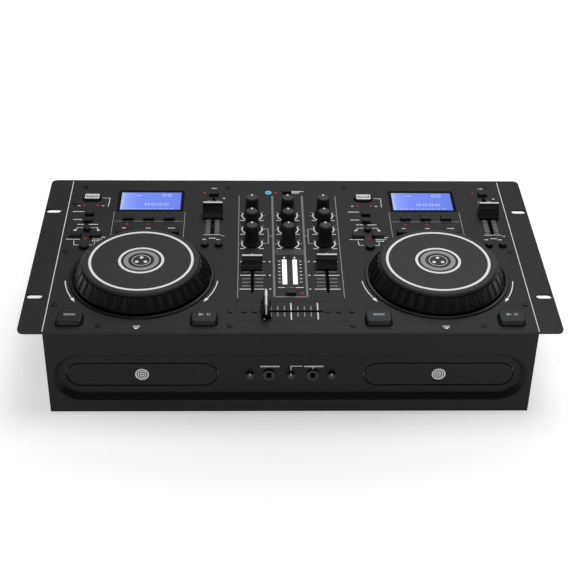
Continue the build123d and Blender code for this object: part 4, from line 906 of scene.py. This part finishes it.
bars = []
for x1, x2 in frontPrint["words"]:
    count = round((x2 - x1) / frontPrint["letterPitch"])
    step = (x2 - x1) / count
    for i in range(count):
        bars.append((x1 + step * (i + 0.5), frontPrint["wordUp"], step * printing["letterFill"],
                     frontPrint["wordHigh"]))
bars += frontPrint["lines"]
pieces = [block((x * mm, rowZ + up * mm, 0), (wide, high, frontPrint["thick"])) for x, up, wide, high in bars]
marks = onFront(settle(joined(pieces)), recessY)
finishPiece(marks, "frontPrint", whiteInkPaintedGlow, "root")

# three rings printed on each tray door: inner and outer radius, steps
doorMark = {"rings": ((4.9, 6.3, 48), (3.0, 4.1, 40), (0.9, 2.2, 32)), "thick": 0.1, "sunk": 0.03}
for side in sides:
    doorLow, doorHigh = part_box("tray_door_" + side)
    x = (doorLow.x + doorHigh.x) / 2
    rings = [ring(x, rowZ, 0, inner, outer, doorMark["thick"], steps)
             for inner, outer, steps in doorMark["rings"]]
    mark = onFront(settle(joined(rings)), doorLow.y + doorMark["sunk"] * mm)
    finishPiece(mark, "doorDiscMark_" + side, whiteInkPaintedGlow, "tray_" + side)

# knurled nuts round the jack sockets, and the contact ring inside each
jackNut = {"x": 19.85, "ringR": (3.5, 5.6), "high": 1.9, "knurlR": 5.3, "knurlInset": 0.12,
           "knurlPinch": 0.975, "edge": 0.15, "contactR": (2.75, 3.2), "contactHigh": 0.8, "contactIn": 1.5}
for side, sign in sides.items():
    x = sign * jackNut["x"] * mm
    nut = ring(x, rowZ, 0, *jackNut["ringR"], jackNut["high"], 36)
    choose(nut)
    bpy.ops.object.mode_set(mode="EDIT")
    pickFaces(nut, lambda c, n: hypot(c.x - x, c.y - rowZ) > jackNut["knurlR"] * mm and abs(n.z) < 0.3)
    bpy.ops.mesh.inset(thickness=jackNut["knurlInset"] * mm, use_individual=True)
    pinch = (jackNut["knurlPinch"], jackNut["knurlPinch"], 1)
    bpy.ops.transform.resize(value=pinch, center_override=(x, rowZ, 0))
    bpy.ops.object.mode_set(mode="OBJECT")
    bevelPiece(nut, jackNut["edge"], 1, 50)
    onFront(nut, recessY)
    finishPiece(nut, "jackNut_" + side, jackPolyamide, "root")
    contact = ring(x, rowZ, 0, *jackNut["contactR"], jackNut["contactHigh"], 32)
    onFront(contact, recessY + jackNut["contactIn"] * mm)
    finishPiece(contact, "jackContact_" + side, nickelPlate, "root")

# white pointer on each small front knob
frontPointer = {"cols": {"left": -36.9, "centre": 0.0, "right": 36.9}, "up": 1.9, "size": (0.7, 2.2, 0.12),
                "edge": 0.03, "sunk": 0.02}
for column, x in frontPointer["cols"].items():
    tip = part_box("front_knob_" + column)[0].y
    place = (x * mm, rowZ + frontPointer["up"] * mm, 0)
    pointer = block(place, frontPointer["size"], frontPointer["edge"], 1)
    onFront(pointer, tip + frontPointer["sunk"] * mm)
    finishPiece(pointer, "frontPointer_" + column, whiteInkPaintedGlow, "front_" + column)
print("front done")

# back: coloured inserts in the phono sockets, metal blades in the mains inlet
phono = {"x": -120.0, "step": 19.0, "count": 4,
         "rows": {"low": (37.0, redPolymer), "high": (55.0, whitePolymer)},
         "ringR": (1.9, 3.55), "thick": 0.5, "out": 0.1}
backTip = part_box("rear_jacks")[1].y
for level, (z, polymer) in phono["rows"].items():
    inserts = []
    for i in range(phono["count"]):
        x = (phono["x"] + (i - (phono["count"] - 1) / 2) * phono["step"]) * mm
        insert = ring(x, z * mm, 0, *phono["ringR"], phono["thick"], 28)
        inserts.append(onFront(insert, backTip + phono["out"] * mm))
    joinAll(inserts, "phonoInserts_" + level, polymer, "root")

inlet = {"places": ((150.0, 54.6), (143.0, 50.8), (157.0, 50.8)), "in": 8.6, "blade": (2.1, 12.0, 3.9),
         "edge": 0.25}
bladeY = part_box("power_inlet")[1].y - inlet["in"] * mm
blades = [block((x * mm, bladeY, z * mm), inlet["blade"], inlet["edge"], 1) for x, z in inlet["places"]]
joinAll(blades, "inletBlades", nickelPlate, "root")
print("back done")

# each end of the floor's rise in glow is a distance from the product in metres and a strength
stage = {"size": 30, "near": (0.14, 0.5), "far": (0.65, 1.0), "paper": "e4e4e4", "worldSoft": 0.12}


def whiteStage(name):
    # white to the camera and in reflections; near the product its own glow is low, so that the shadow shows
    mat, tree = startMaterial(name)
    place = addNode(tree, "ShaderNodeTexCoord")
    away = addNode(tree, "ShaderNodeVectorMath", {"operation": "LENGTH"}, {0: place.outputs["Object"]})
    rise = addNode(tree, "ShaderNodeMapRange",
                   {"From Min": stage["near"][0], "From Max": stage["far"][0],
                    "To Min": stage["near"][1], "To Max": stage["far"][1]},
                   {"Value": away.outputs["Value"]})
    path = addNode(tree, "ShaderNodeLightPath")
    either = addNode(tree, "ShaderNodeMath", {"operation": "MAXIMUM"},
                     {0: path.outputs["Is Camera Ray"], 1: path.outputs["Is Glossy Ray"]})
    seen = addNode(tree, "ShaderNodeMath", {"operation": "MAXIMUM"},
                   {0: either.outputs[0], 1: path.outputs["Is Transmission Ray"]})
    paint = addNode(tree, "ShaderNodeBsdfDiffuse", {"Color": linear(stage["paper"])})
    glow = addNode(tree, "ShaderNodeEmission", {"Color": (1, 1, 1, 1)}, {"Strength": rise.outputs["Result"]})
    both = addNode(tree, "ShaderNodeAddShader", {}, {0: paint.outputs[0], 1: glow.outputs[0]})
    pickOne = addNode(tree, "ShaderNodeMixShader", {},
                      {0: seen.outputs[0], 1: paint.outputs[0], 2: both.outputs[0]})
    addNode(tree, "ShaderNodeOutputMaterial", {}, {"Surface": pickOne.outputs[0]})
    return mat


freshStart()
bpy.ops.mesh.primitive_plane_add(size=stage["size"], location=(0, 0, 0))
floor = bpy.context.object
floor.name = "studioFloor"
floor.data.materials.append(whiteStage("whitePaperFloor"))
settle(floor)

world = bpy.data.worlds.new("studio")
bpy.context.scene.world = world
world.use_nodes = True
tree = world.node_tree
tree.nodes.clear()
path = addNode(tree, "ShaderNodeLightPath")
either = addNode(tree, "ShaderNodeMath", {"operation": "MAXIMUM"},
                 {0: path.outputs["Is Camera Ray"], 1: path.outputs["Is Transmission Ray"]})
soft = addNode(tree, "ShaderNodeBackground", {"Color": (1, 1, 1, 1), "Strength": stage["worldSoft"]})
clear = addNode(tree, "ShaderNodeBackground", {"Color": (1, 1, 1, 1), "Strength": 1.0})
blend = addNode(tree, "ShaderNodeMixShader", {},
                {0: either.outputs[0], 1: soft.outputs[0], 2: clear.outputs[0]})
addNode(tree, "ShaderNodeOutputWorld", {}, {"Surface": blend.outputs[0]})


def softBox(name, place, aim, size, power):
    lamp = bpy.data.lights.new(name, "AREA")
    lamp.shape = "RECTANGLE"
    lamp.size, lamp.size_y = size
    lamp.energy = power
    holder = bpy.data.objects.new(name, lamp)
    bpy.context.collection.objects.link(holder)
    holder.location = place
    holder.rotation_euler = (Vector(aim) - Vector(place)).to_track_quat("-Z", "Y").to_euler()


lamps = {                # place, aim and size in metres, then power
    "topBox": ((0.2, 0.1, 1.6), (0, 0, 0.05), (0.9, 0.7), 10),
    "rearBox": ((0.35, 1.3, 1.6), (0, 0, 0.05), (1.2, 0.7), 6),
    "frontFill": ((-0.4, -1.3, 1.3), (0, 0, 0.05), (1.0, 0.6), 0.4),
}
for name, settings in lamps.items():
    softBox(name, *settings)

view = {"place": (-0.034896, -1.066042, 0.806166), "turn": (54.61420, -0.95938, -1.29927), "lens": 82.9639,
        "sensor": 36.0, "farClip": 50.0}
lens = bpy.data.cameras.new("studioCamera")
lens.lens = view["lens"]
lens.sensor_width = view["sensor"]
lens.clip_end = view["farClip"]
camera = bpy.data.objects.new("studioCamera", lens)
bpy.context.collection.objects.link(camera)
camera.location = view["place"]
camera.rotation_euler = [radians(a) for a in view["turn"]]
bpy.context.scene.camera = camera
bpy.context.scene.view_settings.view_transform = "Standard"
print("stage, lamps and camera set")
